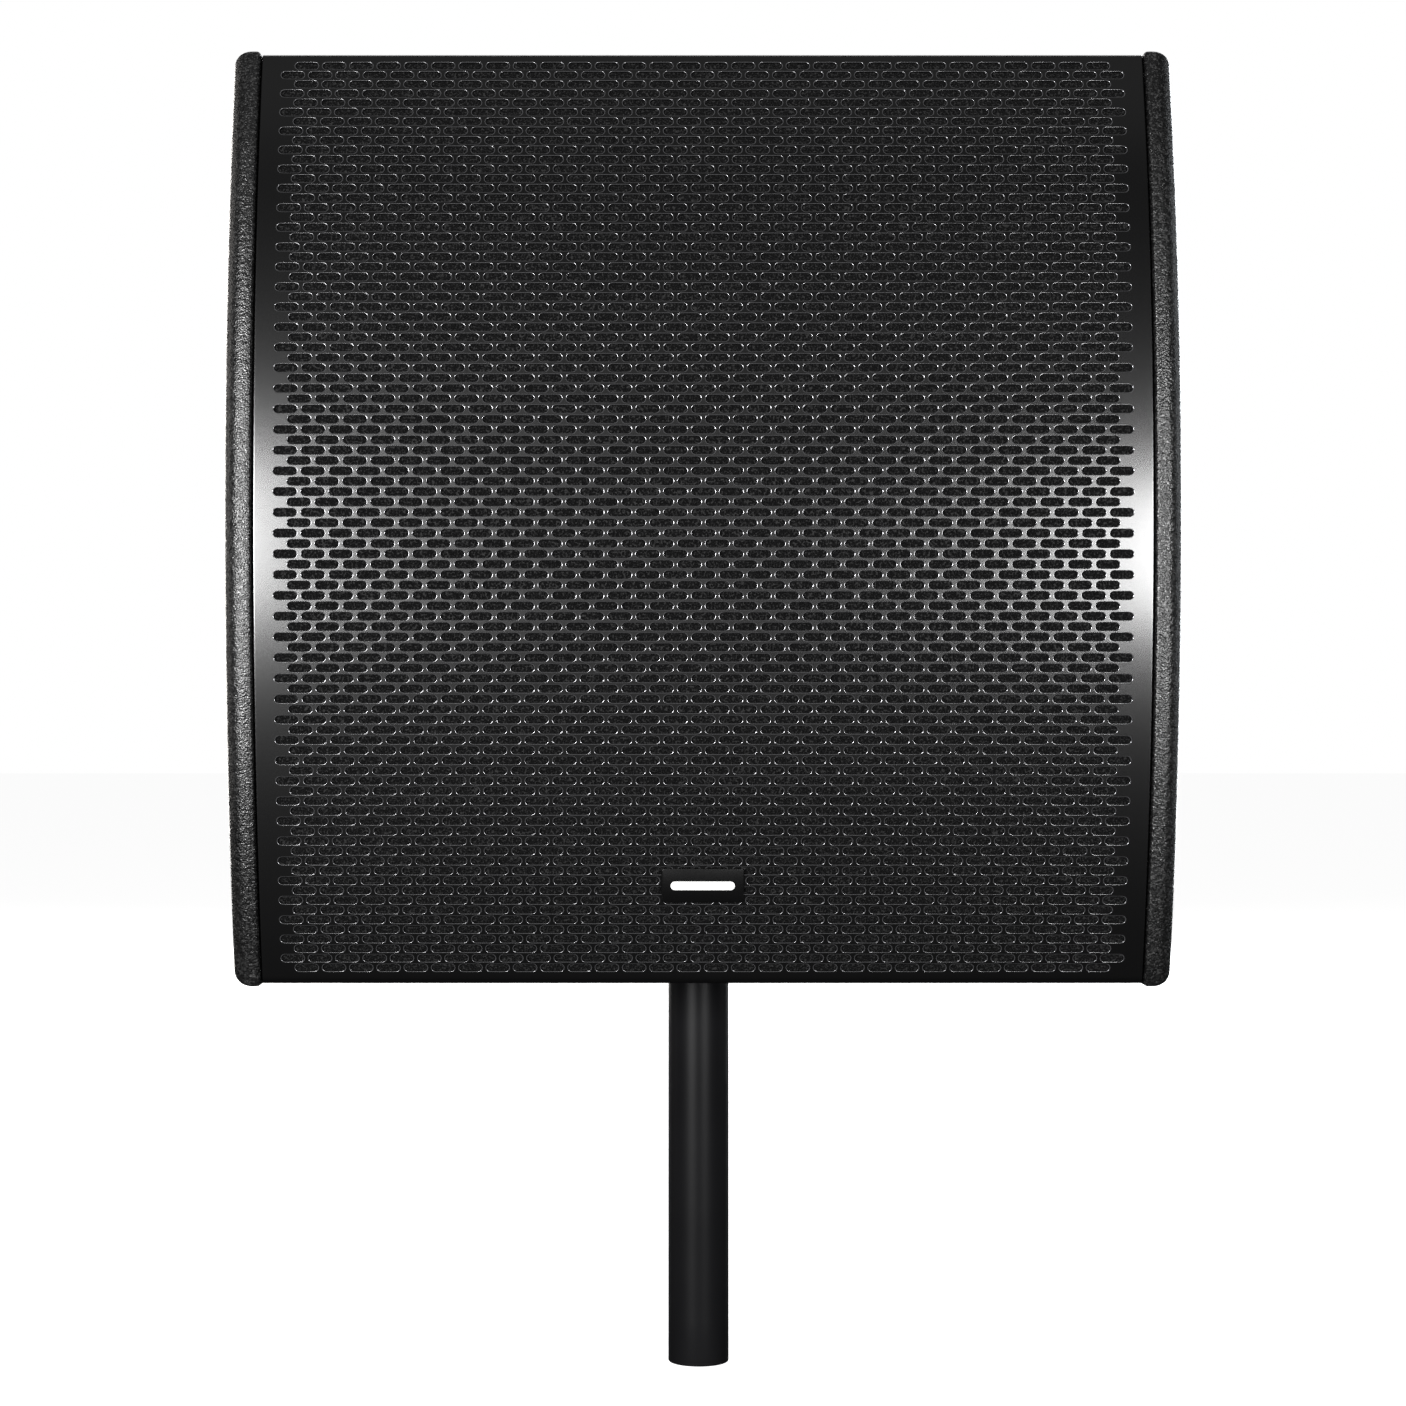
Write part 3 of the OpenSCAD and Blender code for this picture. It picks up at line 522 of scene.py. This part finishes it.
def build_grille(material):
    profile = Profile(GRILLE_R - 0.02 * MM, HALF_H, BEND_R, FLANGE_Y)
    verts, faces, seen, rolled = [], [], {}, []

    def vert(u, v, depth=0.0, glint_weight=0.0):
        key = (round(u * 1e6), round(v * 1e6), round(depth * 1e6))
        if key not in seen:
            seen[key] = len(verts)
            verts.append(profile.point(u, v, depth))
            rolled.append(glint_weight)
        return seen[key]

    back = SHEET_T
    straight = SLOT_L / 2 - SLOT_H / 2
    # rolled outer edge, wall and a slightly eased inner edge:
    # (offset from the slot's outline, depth, painted glint: weight of a paler, metallic colour that stands
    # for glints on the edge)
    steps = [(0.46, 0.0, 0.0), (0.40, 0.0, 0.3), (0.26, 0.025, 1.0), (0.13, 0.105, 0.6), (0.035, 0.24, 0.1),
             (0.0, 0.41, 0.0), (0.0, 1.05, 0.0), (0.12, 1.2, 0.0)]
    steps = [(e * MM, d * MM, painted_glint) for e, d, painted_glint in steps]
    across = [(-1 + k / 4) * SLOT_PITCH / 2 for k in range(9)]

    def rim(u0, v0):
        """The cell's own outline: 20 points, anticlockwise from its lower left corner."""
        h = ROW_PITCH / 2
        low = [(u0 + a, v0 - h) for a in across]
        high = [(u0 + a, v0 + h) for a in reversed(across)]
        return low + [(u0 + SLOT_PITCH / 2, v0)] + high + [(u0 - SLOT_PITCH / 2, v0)]

    def slot(u0, v0, e):
        """The slot's outline moved outward by e, point for point with rim()."""
        r = SLOT_H / 2 + e
        turns = [math.radians(a) for a in (-30, -60, -90)]
        ends = [(straight + r * math.cos(a), r * math.sin(a)) for a in turns]
        inner = straight / 2
        low = [(-x, y) for x, y in ends] + [(-inner, -r), (0, -r), (inner, -r)] + list(reversed(ends))
        high = [(x, -y) for x, y in reversed(low)]
        ring = low + [(straight + r, 0)] + high + [(-straight - r, 0)]
        return [(u0 + x, v0 + y) for x, y in ring]

    def skin(a, b):
        for k in range(len(a)):
            m = (k + 1) % len(a)
            faces.append((a[k], a[m], b[m], b[k]))

    def cell(u0, v0):
        rings = [[vert(u, v) for u, v in rim(u0, v0)]]
        for e, d, painted_glint in steps:
            # the painted glint, a paler metallic colour, is weighted towards the slot's round ends, where
            # the glints belong
            rings.append([vert(u, v, d, painted_glint * max(0.25, (abs(u - u0) - straight) / (SLOT_H / 2 + e)))
                          for u, v in slot(u0, v0, e)])
        rings += [[vert(u, v, back) for u, v in rim(u0, v0)]]
        for a, b in zip(rings, rings[1:]):
            skin(a, b)

    def patch(us, vs):
        """Plain sheet on both faces over a grid."""
        for i in range(len(us) - 1):
            for j in range(len(vs) - 1):
                quad = [(us[i], vs[j]), (us[i + 1], vs[j]), (us[i + 1], vs[j + 1]), (us[i], vs[j + 1])]
                faces.append(tuple(vert(u, v) for u, v in quad))
                faces.append(tuple(vert(u, v, back) for u, v in reversed(quad)))

    half = ROW_PITCH / 2
    field_x = LONG_ROW * SLOT_PITCH / 2
    short_x = field_x - SLOT_PITCH / 2
    quarter = SLOT_PITCH / 8
    row_v = [FIRST_ROW + i * ROW_PITCH for i in ROWS]
    ease = 0.45 * MM
    margins = [field_x, (field_x + GRILLE_X - ease) / 2, GRILLE_X - 2 * ease, GRILLE_X - ease]

    def edge(v0, v1):
        """The sheet's rounded end edge between two stations."""
        outline = [(GRILLE_X - ease, 0.0), (GRILLE_X - 0.18 * MM, 0.10 * MM),
                   (GRILLE_X - 0.04 * MM, 0.27 * MM), (GRILLE_X, 0.5 * MM),
                   (GRILLE_X, back - 0.15 * MM), (GRILLE_X - 0.12 * MM, back), (GRILLE_X - ease, back)]
        for side in (1, -1):
            for (u0, d0), (u1, d1) in zip(outline, outline[1:]):
                quad = [(u0, v0, d0), (u1, v0, d1), (u1, v1, d1), (u0, v1, d0)]
                quad = quad if side > 0 else quad[::-1]
                faces.append(tuple(vert(side * u, v, d) for u, v, d in quad))

    for i, v0 in zip(ROWS, row_v):
        is_long = i % 2 != 0
        count = LONG_ROW if is_long else LONG_ROW - 1
        for k in range(count):
            cell((k - (count - 1) / 2) * SLOT_PITCH, v0)
        levels = [v0 - half, v0, v0 + half]
        if not is_long:
            # half a cell of plain sheet at each end of a short row
            stations = [short_x + k * quarter for k in range(5)]
            for side in (1, -1):
                us = [side * s for s in stations]
                top = [(u, v0 + half) for u in us]
                low = [(u, v0 - half) for u in us]
                middle = [(us[0], v0), (us[-1], v0)]
                ring = low + [middle[1]] + top[::-1] + [middle[0]]
                ring = ring if side > 0 else ring[::-1]
                faces.append(tuple(vert(u, v) for u, v in ring))
                faces.append(tuple(vert(u, v, back) for u, v in reversed(ring)))
        for side in (1, -1):
            patch([side * u for u in margins][::side], levels)
        edge(levels[0], levels[1])
        edge(levels[1], levels[2])

    # plain ends: the rest of each bend, and the flange
    columns = [k * quarter for k in range(-4 * LONG_ROW, 4 * LONG_ROW + 1)]
    columns = [-u for u in reversed(margins[1:])] + columns + margins[1:]
    end = profile.total
    for start, stop in ((row_v[-1] + half, end), (row_v[0] - half, -end)):
        bend_end = math.copysign(profile.arc_l + profile.bend_l, stop)
        stations = [start]
        bend_start = math.copysign(profile.arc_l, stop)
        if abs(start) < profile.arc_l - 0.2 * MM:
            stations += [(start + bend_start) / 2, bend_start]
        near = stations[-1]
        stations += [near + (bend_end - near) * k / 6 for k in range(1, 7)]
        stations += [stations[-1] + (stop - stations[-1]) * k / 3 for k in range(1, 4)]
        stations = stations if stop > 0 else stations[::-1]
        patch(columns, stations)
        for v0, v1 in zip(stations, stations[1:]):
            edge(v0, v1)
        # the flange's rear edge
        for u0, u1 in zip(columns, columns[1:]):
            quad = [vert(u0, stop), vert(u0, stop, back), vert(u1, stop, back), vert(u1, stop)]
            faces.append(tuple(quad if stop > 0 else quad[::-1]))
    obj = make("grille_sheet", verts, faces, material)
    obj.data.attributes.new("rolled", "FLOAT", "POINT").data.foreach_set("value", rolled)
    face_out(obj)
    return keep_edges(obj, 50)


def sheet_paint():
    """Satin paint of the grille, glossier on the punched slots' rolled edges, which also get a painted
    glint: a paler, metallic colour.
    """
    m = Mat("grille_powder_coat")
    m.base(Specular_IOR_Level=1.0)
    drift = m.noise(9, 3.0, 0.55)
    speck = m.noise(1500, 2.0, 0.5)
    rolled = (m.add("ShaderNodeAttribute", attribute_name="rolled"), "Fac")
    paint = m.ramp(drift, [(0.3, (0.0014, 0.0014, 0.0015)), (0.7, (0.0018, 0.0018, 0.0019))])
    # painted glint: the rolled edges get a paler, metallic colour that stands for glints, strongest at the
    # slots' round ends
    m.feed("Base Color", m.mixed(rolled, paint, (0.24, 0.24, 0.25)))
    m.feed("Metallic", rolled)
    m.feed("Roughness", m.maths("SUBTRACT", m.spread(speck, 0.21, 0.22), m.maths("MULTIPLY", rolled, 0.12)))
    m.bump(m.spread(speck, 0.0, 1.0, (0.3, 0.7)), 0.0003 * MM)
    return m.mat


grille_paint = sheet_paint()
place(build_grille(grille_paint), "cabinet", "grille_steel", "grille")


def build_foam(material):
    """Foam sheet on the grille's back, both of its faces a little ragged."""
    outer, inner = GRILLE_R - SHEET_T - 0.15 * MM, GRILLE_R - SHEET_T - 5.6 * MM
    half_x, half_v = FOAM_HIGH.x - 0.5 * MM, FOAM_HIGH.z - MID - 0.6 * MM
    across, along = 116, 122
    turn = math.asin(half_v / outer)
    verts, faces = [], []
    for layer, radius in enumerate((outer, inner)):
        for j in range(along + 1):
            angle = turn * (2 * j / along - 1)
            for i in range(across + 1):
                x = half_x * (2 * i / across - 1)
                z = math.sin(angle)
                rag = noise.noise(Vector((x, angle * radius, layer)) * 260) * 0.18 * MM
                r = radius - abs(rag) if layer == 0 else radius + abs(rag)
                verts.append((x, ARC_Y - r * math.cos(angle), MID + r * z * outer / r))
    row = across + 1
    layer_n = row * (along + 1)
    for j in range(along):
        for i in range(across):
            a = j * row + i
            faces.append((a, a + 1, a + row + 1, a + row))
            b = a + layer_n
            faces.append((b, b + row, b + row + 1, b + 1))
    border = ([i for i in range(across)] + [j * row + across for j in range(along)]
              + [along * row + i for i in range(across, 0, -1)] + [j * row for j in range(along, 0, -1)])
    for k, a in enumerate(border):
        b = border[(k + 1) % len(border)]
        faces.append((a, a + layer_n, b + layer_n, b))
    return face_out(make("grille_foam_sheet", verts, faces, material))


foam = place(build_foam(open_foam("grille_foam_cells")), "cabinet", "grille_foam", "grille_foam")

# ---------------------------------------------------------------- side panels

CORNER_R = 3 * MM                          # rounding of the outline's corners, seen from the side
OUTER_R = 10 * MM                          # routed round on the outer edge
INNER_R = 2.2 * MM


def side_outline(inset):
    """The side panel's outline in (y, z), every edge moved in by inset, anticlockwise from low front."""
    rear, low, high = REAR_Y - inset, BOTTOM + inset, TOP - inset
    slope = Vector((REAR_Y - CREST_Y, TOP - KNEE_Z)).normalized()
    out = Vector((slope.y, slope.x))
    level = out.dot(Vector((REAR_Y, KNEE_Z))) - inset
    knee = Vector((rear, (level - out.x * rear) / out.y))
    crest = Vector(((level - out.y * high) / out.x, high))
    bow = FRONT_R - inset
    radius = max(CORNER_R - inset, 0.3 * MM)

    def fillet(corner, before, after, r):
        """Arc between the corner's two edges, which run towards before and after."""
        steps = 8
        d0, d1 = (Vector(before) - corner).normalized(), (Vector(after) - corner).normalized()
        angle = d0.angle(d1)
        centre = corner + (d0 + d1).normalized() * r / math.sin(angle / 2)
        start, stop = (corner + d * r / math.tan(angle / 2) - centre for d in (d0, d1))
        a0, a1 = math.atan2(start.y, start.x), math.atan2(stop.y, stop.x)
        turn = (a1 - a0 + math.pi) % (2 * math.pi) - math.pi
        angles = [a0 + turn * k / steps for k in range(steps + 1)]
        return [(centre.x + r * math.cos(a), centre.y + r * math.sin(a)) for a in angles]

    half_h = (high - low) / 2
    reach = math.sqrt((bow - radius) ** 2 - (half_h - radius) ** 2)
    tilt = math.degrees(math.atan2(half_h - radius, reach))
    front_y = ARC_Y - reach
    points = arc(front_y, low + radius, radius, 180 + tilt, 270, 8)
    points += fillet(Vector((rear, low)), (0, low), knee, radius)
    points += fillet(knee, (rear, low), crest, radius)
    points += fillet(crest, knee, (front_y, high), radius)
    points += arc(front_y, high - radius, radius, 90, 180 - tilt, 8)
    points += arc(ARC_Y, MID, bow, 180 - tilt, 180 + tilt, 72)[1:-1]
    return points


HANDLE_LOW, HANDLE_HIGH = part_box("handle_pocket_right")
HANDLE_Y = (HANDLE_LOW.y + HANDLE_HIGH.y) / 2
HANDLE_Z = (HANDLE_LOW.z + HANDLE_HIGH.z) / 2
RIM_L, RIM_H = HANDLE_HIGH.y - HANDLE_LOW.y, HANDLE_HIGH.z - HANDLE_LOW.z
RIM_W = 12 * MM
RIM_T = 2 * MM
RIM_R = 16 * MM
MOUTH_R = 12 * MM


def rounded_rect(w, h, r, steps=8):
    """Anticlockwise outline about the origin."""
    points = []
    for cx, cy, a in ((w / 2 - r, -h / 2 + r, -90), (w / 2 - r, h / 2 - r, 0),
                      (-w / 2 + r, h / 2 - r, 90), (-w / 2 + r, -h / 2 + r, 180)):
        points += arc(cx, cy, r, a, a + 90, steps)
    return points


def build_side(side, material):
    def ring(inset, x):
        return [(side * x, y, z) for y, z in side_outline(inset)]

    rings = []
    for k in range(9):
        a = math.radians(90 - 90 * k / 8)
        rings.append(ring(OUTER_R * (1 - math.cos(a)), HALF_W - OUTER_R * (1 - math.sin(a))))
    for k in range(5):
        a = math.radians(90 * k / 4)
        rings.append(ring(INNER_R * (1 - math.cos(a)), INNER_X + INNER_R * (1 - math.sin(a))))
    verts, faces = loft(rings)
    name = "side_board_right" if side > 0 else "side_board_left"
    obj = face_out(make(name, verts, faces, material))

    # the handle's opening and the shallow seat for its rim
    past, mouth_gap, rim_gap = 5 * MM, 0.4 * MM, 0.5 * MM
    mouth_w, mouth_h = RIM_L - 2 * RIM_W + mouth_gap, RIM_H - 2 * RIM_W + mouth_gap
    for w, h, r, x0 in ((mouth_w, mouth_h, MOUTH_R, INNER_X - past),
                        (RIM_L + rim_gap, RIM_H + rim_gap, RIM_R, HALF_W - RIM_T - 0.05 * MM)):
        outline = [(HANDLE_Y + y, HANDLE_Z + z) for y, z in rounded_rect(w, h, r)]
        tool_rings = [[(side * x, y, z) for y, z in outline] for x in (x0, HALF_W + past)]
        tool = face_out(make("tool", *loft(tool_rings), material))
        cut = obj.modifiers.new("cut", "BOOLEAN")
        cut.operation, cut.solver, cut.object = "DIFFERENCE", "EXACT", tool
        settle(obj)
        bpy.data.objects.remove(tool)
    obj.data.polygons.foreach_set("use_smooth", [True] * len(obj.data.polygons))
    keep_edges(obj, 35)
    obj.modifiers.new("weighted", "WEIGHTED_NORMAL").keep_sharp = True
    return obj


coat = polyurea("cabinet_coat")
for side, word in ((1, "right"), (-1, "left")):
    place(build_side(side, coat), "cabinet", "coated_ply", "side_panel_" + word)

# ---------------------------------------------------------------- badge

def build_badge():
    low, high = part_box("badge_plate")
    bar_low, bar_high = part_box("badge_bar")
    width = high.x - low.x
    seat = Profile(GRILLE_R, HALF_H, BEND_R, FLANGE_Y)
    drop = (low.z + high.z) / 2 - MID
    v0 = GRILLE_R * math.asin(drop / GRILLE_R)

    def plaque(name, w, h, r, base, rise, ease, material):
        """A flat-backed plate with eased edges that lies on the sheet, tilted with it."""
        y0, z0, ny, nz = seat.at(v0)
        up = Vector((0, nz, -ny))
        out = Vector((0, ny, nz))
        centre = Vector((0, y0, z0))
        rings = []
        top = base + rise
        for inset, d in ((0, base), (0, top - ease), (0.3 * ease, top - 0.3 * ease), (ease, top)):
            outline = rounded_rect(w - 2 * inset, h - 2 * inset, max(r - inset, 0.2 * MM), 10)
            rings.append([centre + Vector((x, 0, 0)) + up * y + out * d for x, y in outline])
        return keep_edges(face_out(make(name, *loft(rings), material)), 40)

    height = 18.4 * MM
    plate = plaque("badge_ground", width - 0.4 * MM, height, 1.6 * MM, 0.02 * MM, 0.9 * MM, 0.35 * MM,
                   powder_coat("badge_lacquer", (0.002, 0.002, 0.0021), (0.30, 0.38), peel=0.004,
                               worn=False, gloss_level=0.2))
    place(plate, "cabinet", "badge_black", "badge_plate")
    bar = plaque("badge_inlay", bar_high.x - bar_low.x, 4.8 * MM, 2.39 * MM, 0.92 * MM, 0.35 * MM, 0.15 * MM,
                 powder_coat("badge_white_enamel", (0.80, 0.80, 0.78), (0.25, 0.35), peel=0.006, worn=False))
    place(bar, "cabinet", "badge_white", "badge_bar")


build_badge()

# ---------------------------------------------------------------- pole

POLE_LOW, POLE_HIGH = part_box("pole_tube")
POLE_R = POLE_HIGH.x


def build_pole(material):
    wall = 2 * MM
    ease = 0.6 * MM
    profile = [(POLE_R - wall, POLE_LOW.z + ease), (POLE_R - wall + ease, POLE_LOW.z)]
    profile += [(r, z) for r, z in arc(POLE_R - ease, POLE_LOW.z + ease, ease, -90, 0, 4)]
    profile += [(POLE_R, POLE_LOW.z + (POLE_HIGH.z - POLE_LOW.z) * k / 12) for k in range(1, 12)]
    profile += [(r, z) for r, z in arc(POLE_R - ease, POLE_HIGH.z - ease, ease, 0, 90, 4)]
    profile += [(POLE_R - wall, POLE_HIGH.z - ease)]
    return lathe("pole_drawn_tube", profile, (0, 0, 0), (0, 0, 1), material, 128, closed=True)


pole_paint = powder_coat("pole_powder_coat", (0.006, 0.006, 0.0066), rough=(0.31, 0.37), peel=0.012,
                         gloss_level=0.13)
place(build_pole(pole_paint), "pole", "pole_steel", "pole_tube")

# ---------------------------------------------------------------- damping pads

def build_wadding(name, node, material, seed):
    """Each solid of the node as a soft pad: pillowed face, pulled-in ragged edges."""
    bm = bmesh.new()
    bm.from_mesh(NODES[node].data)
    bmesh.ops.remove_doubles(bm, verts=bm.verts, dist=WELD_GAP)
    bmesh.ops.dissolve_limit(bm, angle_limit=math.radians(2), verts=bm.verts, edges=bm.edges)
    bmesh.ops.triangulate(bm, faces=bm.faces)
    mesh = bpy.data.meshes.new(name)
    bm.to_mesh(mesh)
    bm.free()
    mesh.materials.append(material)
    obj = bpy.data.objects.new(name, mesh)
    bpy.context.scene.collection.objects.link(obj)
    remesh = obj.modifiers.new("remesh", "REMESH")
    remesh.mode, remesh.voxel_size = "VOXEL", 4 * MM
    settle(obj)
    bm = bmesh.new()
    bm.from_mesh(obj.data)
    for _ in range(4):
        bmesh.ops.smooth_vert(bm, verts=bm.verts, factor=0.5,
                              use_axis_x=True, use_axis_y=True, use_axis_z=True)
    for v in bm.verts:
        v.co -= v.normal * (0.4 + abs(noise.noise(v.co * 60 + Vector((seed, 0, 0)))) * 2.2) * MM
    bm.to_mesh(obj.data)
    bm.free()
    obj.data.polygons.foreach_set("use_smooth", [True] * len(obj.data.polygons))
    obj.data.materials.clear()
    obj.data.materials.append(material)
    return obj


felt = fibres("wadding_fibre", (0.34, 0.35, 0.36), (0.13, 0.135, 0.14), 380, 0.9)
for number, node in enumerate(("lining_slant", "lining_sides")):
    pad = place(build_wadding(node + "_pad", node, felt, number * 7), "cabinet", "wadding", node)

# ---------------------------------------------------------------- materials of the CAD nodes that stay

black_zinc = bare_metal("black_zinc_screws", (0.055, 0.055, 0.058), (0.28, 0.45))
zinc = bare_metal("bright_zinc", (0.62, 0.63, 0.64), (0.22, 0.4))
cast = powder_coat("cast_frame_paint", (0.030, 0.030, 0.033), (0.35, 0.5), peel=0.08, grain=900)
plated = bare_metal("plated_steel", (0.50, 0.50, 0.50), (0.25, 0.45), (1, 0.1, 1))
leads = moulded("lead_cover", (0.36, 0.02, 0.02), (0.22, 0.35), 600, 0.01)
FINISHES = {
    "pole_steel": pole_paint,
    "zinc_steel": zinc,
    "nylon": moulded("pole_cap_nylon", (0.028, 0.028, 0.030)),
    "coated_ply": coat,
    "black_ply": wood("baffle_stain", (0.030, 0.026, 0.024), (0.012, 0.010, 0.010), coat=True),
    "bare_pine": wood("batten_pine", (0.52, 0.34, 0.17), (0.33, 0.18, 0.08)),
    "wadding": felt,
    "grille_steel": grille_paint,
    "black_screws": black_zinc,
    "cast_frame": cast,
    "gasket_foam": moulded("gasket_rubber", (0.010, 0.010, 0.010), (0.6, 0.85), 1600, 0.12),
    "cone_paper": pulp("cone_pulp"),
    "coil_wire": winding("coil_winding", (0.60, 0.30, 0.12), (0.22, 0.09, 0.03), 0.5 * MM, "Y"),
    "surround_cloth": woven("surround_doped_cloth", (0.030, 0.030, 0.031), (0.008, 0.008, 0.009)),
    "spider_cloth": woven("spider_resin_cloth", (0.52, 0.37, 0.15), (0.25, 0.15, 0.05)),
    "plate_steel": plated,
    "ferrite": moulded("ferrite_block", (0.045, 0.045, 0.050), (0.45, 0.65), 700, 0.06),
    "terminal_plastic": moulded("terminal_plastic_red", (0.30, 0.02, 0.02)),
    "horn_plastic": moulded("horn_plastic_black", (0.016, 0.016, 0.018), (0.32, 0.46), 900, 0.03),
    "titanium_foil": bare_metal("titanium_dome", (0.46, 0.46, 0.48), (0.2, 0.35), grain=300),
    "port_plastic": moulded("port_plastic_black", (0.015, 0.015, 0.016)),
    "handle_steel": powder_coat("handle_powder_coat", (0.018, 0.018, 0.019), (0.34, 0.5),
                                peel=0.09, grain=800),
    "grip_rubber": moulded("grip_rubber_black", (0.012, 0.012, 0.012), (0.55, 0.75), 700, 0.12),
    "socket_steel": powder_coat("socket_paint", (0.020, 0.020, 0.021), (0.3, 0.42)),
    "terminal_steel": powder_coat("terminal_plate_paint", (0.022, 0.022, 0.023), (0.35, 0.5),
                                  peel=0.06, grain=1000),
    "socket_plastic": moulded("input_socket_plastic", (0.014, 0.015, 0.020), (0.25, 0.4), 900, 0.02),
    "tag_brass": bare_metal("tag_brass", (0.72, 0.52, 0.20), (0.2, 0.35)),
    "board_laminate": laminate("crossover_laminate"),
    "post_nylon": moulded("post_nylon_white", (0.62, 0.62, 0.58), (0.4, 0.5), 900, 0.02),
    "copper_wire": winding("inductor_winding", (0.62, 0.24, 0.09), (0.24, 0.07, 0.02), 1.0 * MM),
    "film_can": moulded("capacitor_wrap", (0.60, 0.48, 0.06), (0.2, 0.3), 300, 0.01),
    "resistor_body": moulded("resistor_cement", (0.62, 0.60, 0.52), (0.6, 0.8), 700, 0.08),
    "wire_cover": leads,
    "foot_rubber": moulded("foot_rubber_black", (0.012, 0.012, 0.012), (0.55, 0.8), 800, 0.1),
}
for part in frame["record"]["subparts"]:
    node = NODES[part["node"]]
    finish = FINISHES.get(part["material_slot"])
    if finish is None:
        continue
    node.data.materials.clear()
    node.data.materials.append(finish)

# ---------------------------------------------------------------- floor and light

def build_floor():
    m = Mat("floor_pale")
    m.base(rough=0.7, Specular_IOR_Level=0.2)
    m.feed("Base Color", m.ramp(m.noise(2.0, 3.0), [(0.3, (0.86, 0.86, 0.86)), (0.7, (0.90, 0.90, 0.90))]))
    m.bump(m.noise(300, 2.0), 0.05 * MM)
    m.bsdf.inputs["Emission Color"].default_value = (1, 1, 1, 1)
    m.bsdf.inputs["Emission Strength"].default_value = 0.95
    far = 14.0
    floor_z = cad_box[0][2] - 0.5 * MM
    outline = [(-far, floor_z), (far, floor_z)]
    rings = [[(x, y, z) for y, z in outline] for x in (-far, far)]
    verts, faces = loft(rings, closed=False, caps=(False, False))
    floor = make("floor", verts, faces, m.mat)
    # the pale floor doesn't light the dark object up from below
    floor.visible_diffuse = floor.visible_glossy = False


build_floor()


def soft_box(name, location, target, size, power, colour=(1, 1, 1)):
    data = bpy.data.lights.new(name, "AREA")
    data.shape = "RECTANGLE"
    data.size, data.size_y = size
    data.energy = power
    data.color = colour
    light = bpy.data.objects.new(name, data)
    light.location = location
    light.rotation_euler = (Vector(target) - Vector(location)).to_track_quat("-Z", "Y").to_euler()
    bpy.context.scene.collection.objects.link(light)
    return light


aim = (0, 0, MID)
soft_box("key_left", (-0.97, -1.97, MID + 0.05), aim, (0.88, 0.54), 60)
soft_box("key_right", (0.88, -2.0, MID), aim, (0.75, 0.50), 32)
soft_box("top_fill", (0, -0.9, 2.4), aim, (2.4, 2.0), 2)
soft_box("top_back", (0, 0.9, 1.9), aim, (1.6, 0.5), 5)
soft_box("rear_left", (-1.3, 2.5, 0.9), aim, (1.2, 1.6), 55, (1.0, 0.97, 0.94))
soft_box("rear_right", (1.3, 2.5, 0.9), aim, (1.2, 1.6), 70, (0.94, 0.97, 1.0))
soft_box("side_left", (-2.4, 0.5, 0.9), aim, (1.0, 1.6), 8, (1.0, 0.96, 0.92))
soft_box("side_right", (2.4, 0.5, 0.9), aim, (1.0, 1.6), 8, (0.92, 0.96, 1.0))


def build_world():
    """White behind the object; a dim studio all round for its light and gloss."""
    world = bpy.data.worlds.new("studio")
    world.use_nodes = True
    tree = world.node_tree
    tree.nodes.clear()
    out = tree.nodes.new("ShaderNodeOutputWorld")
    seen, lit = tree.nodes.new("ShaderNodeBackground"), tree.nodes.new("ShaderNodeBackground")
    seen.inputs["Color"].default_value = (1, 1, 1, 1)
    lit.inputs["Color"].default_value = (1, 1, 1, 1)
    lit.inputs["Strength"].default_value = 0.016
    path, mix = tree.nodes.new("ShaderNodeLightPath"), tree.nodes.new("ShaderNodeMixShader")
    tree.links.new(path.outputs["Is Camera Ray"], mix.inputs[0])
    tree.links.new(lit.outputs[0], mix.inputs[1])
    tree.links.new(seen.outputs[0], mix.inputs[2])
    tree.links.new(mix.outputs[0], out.inputs[0])
    bpy.context.scene.world = world


build_world()
bpy.context.scene.view_settings.view_transform = "Standard"
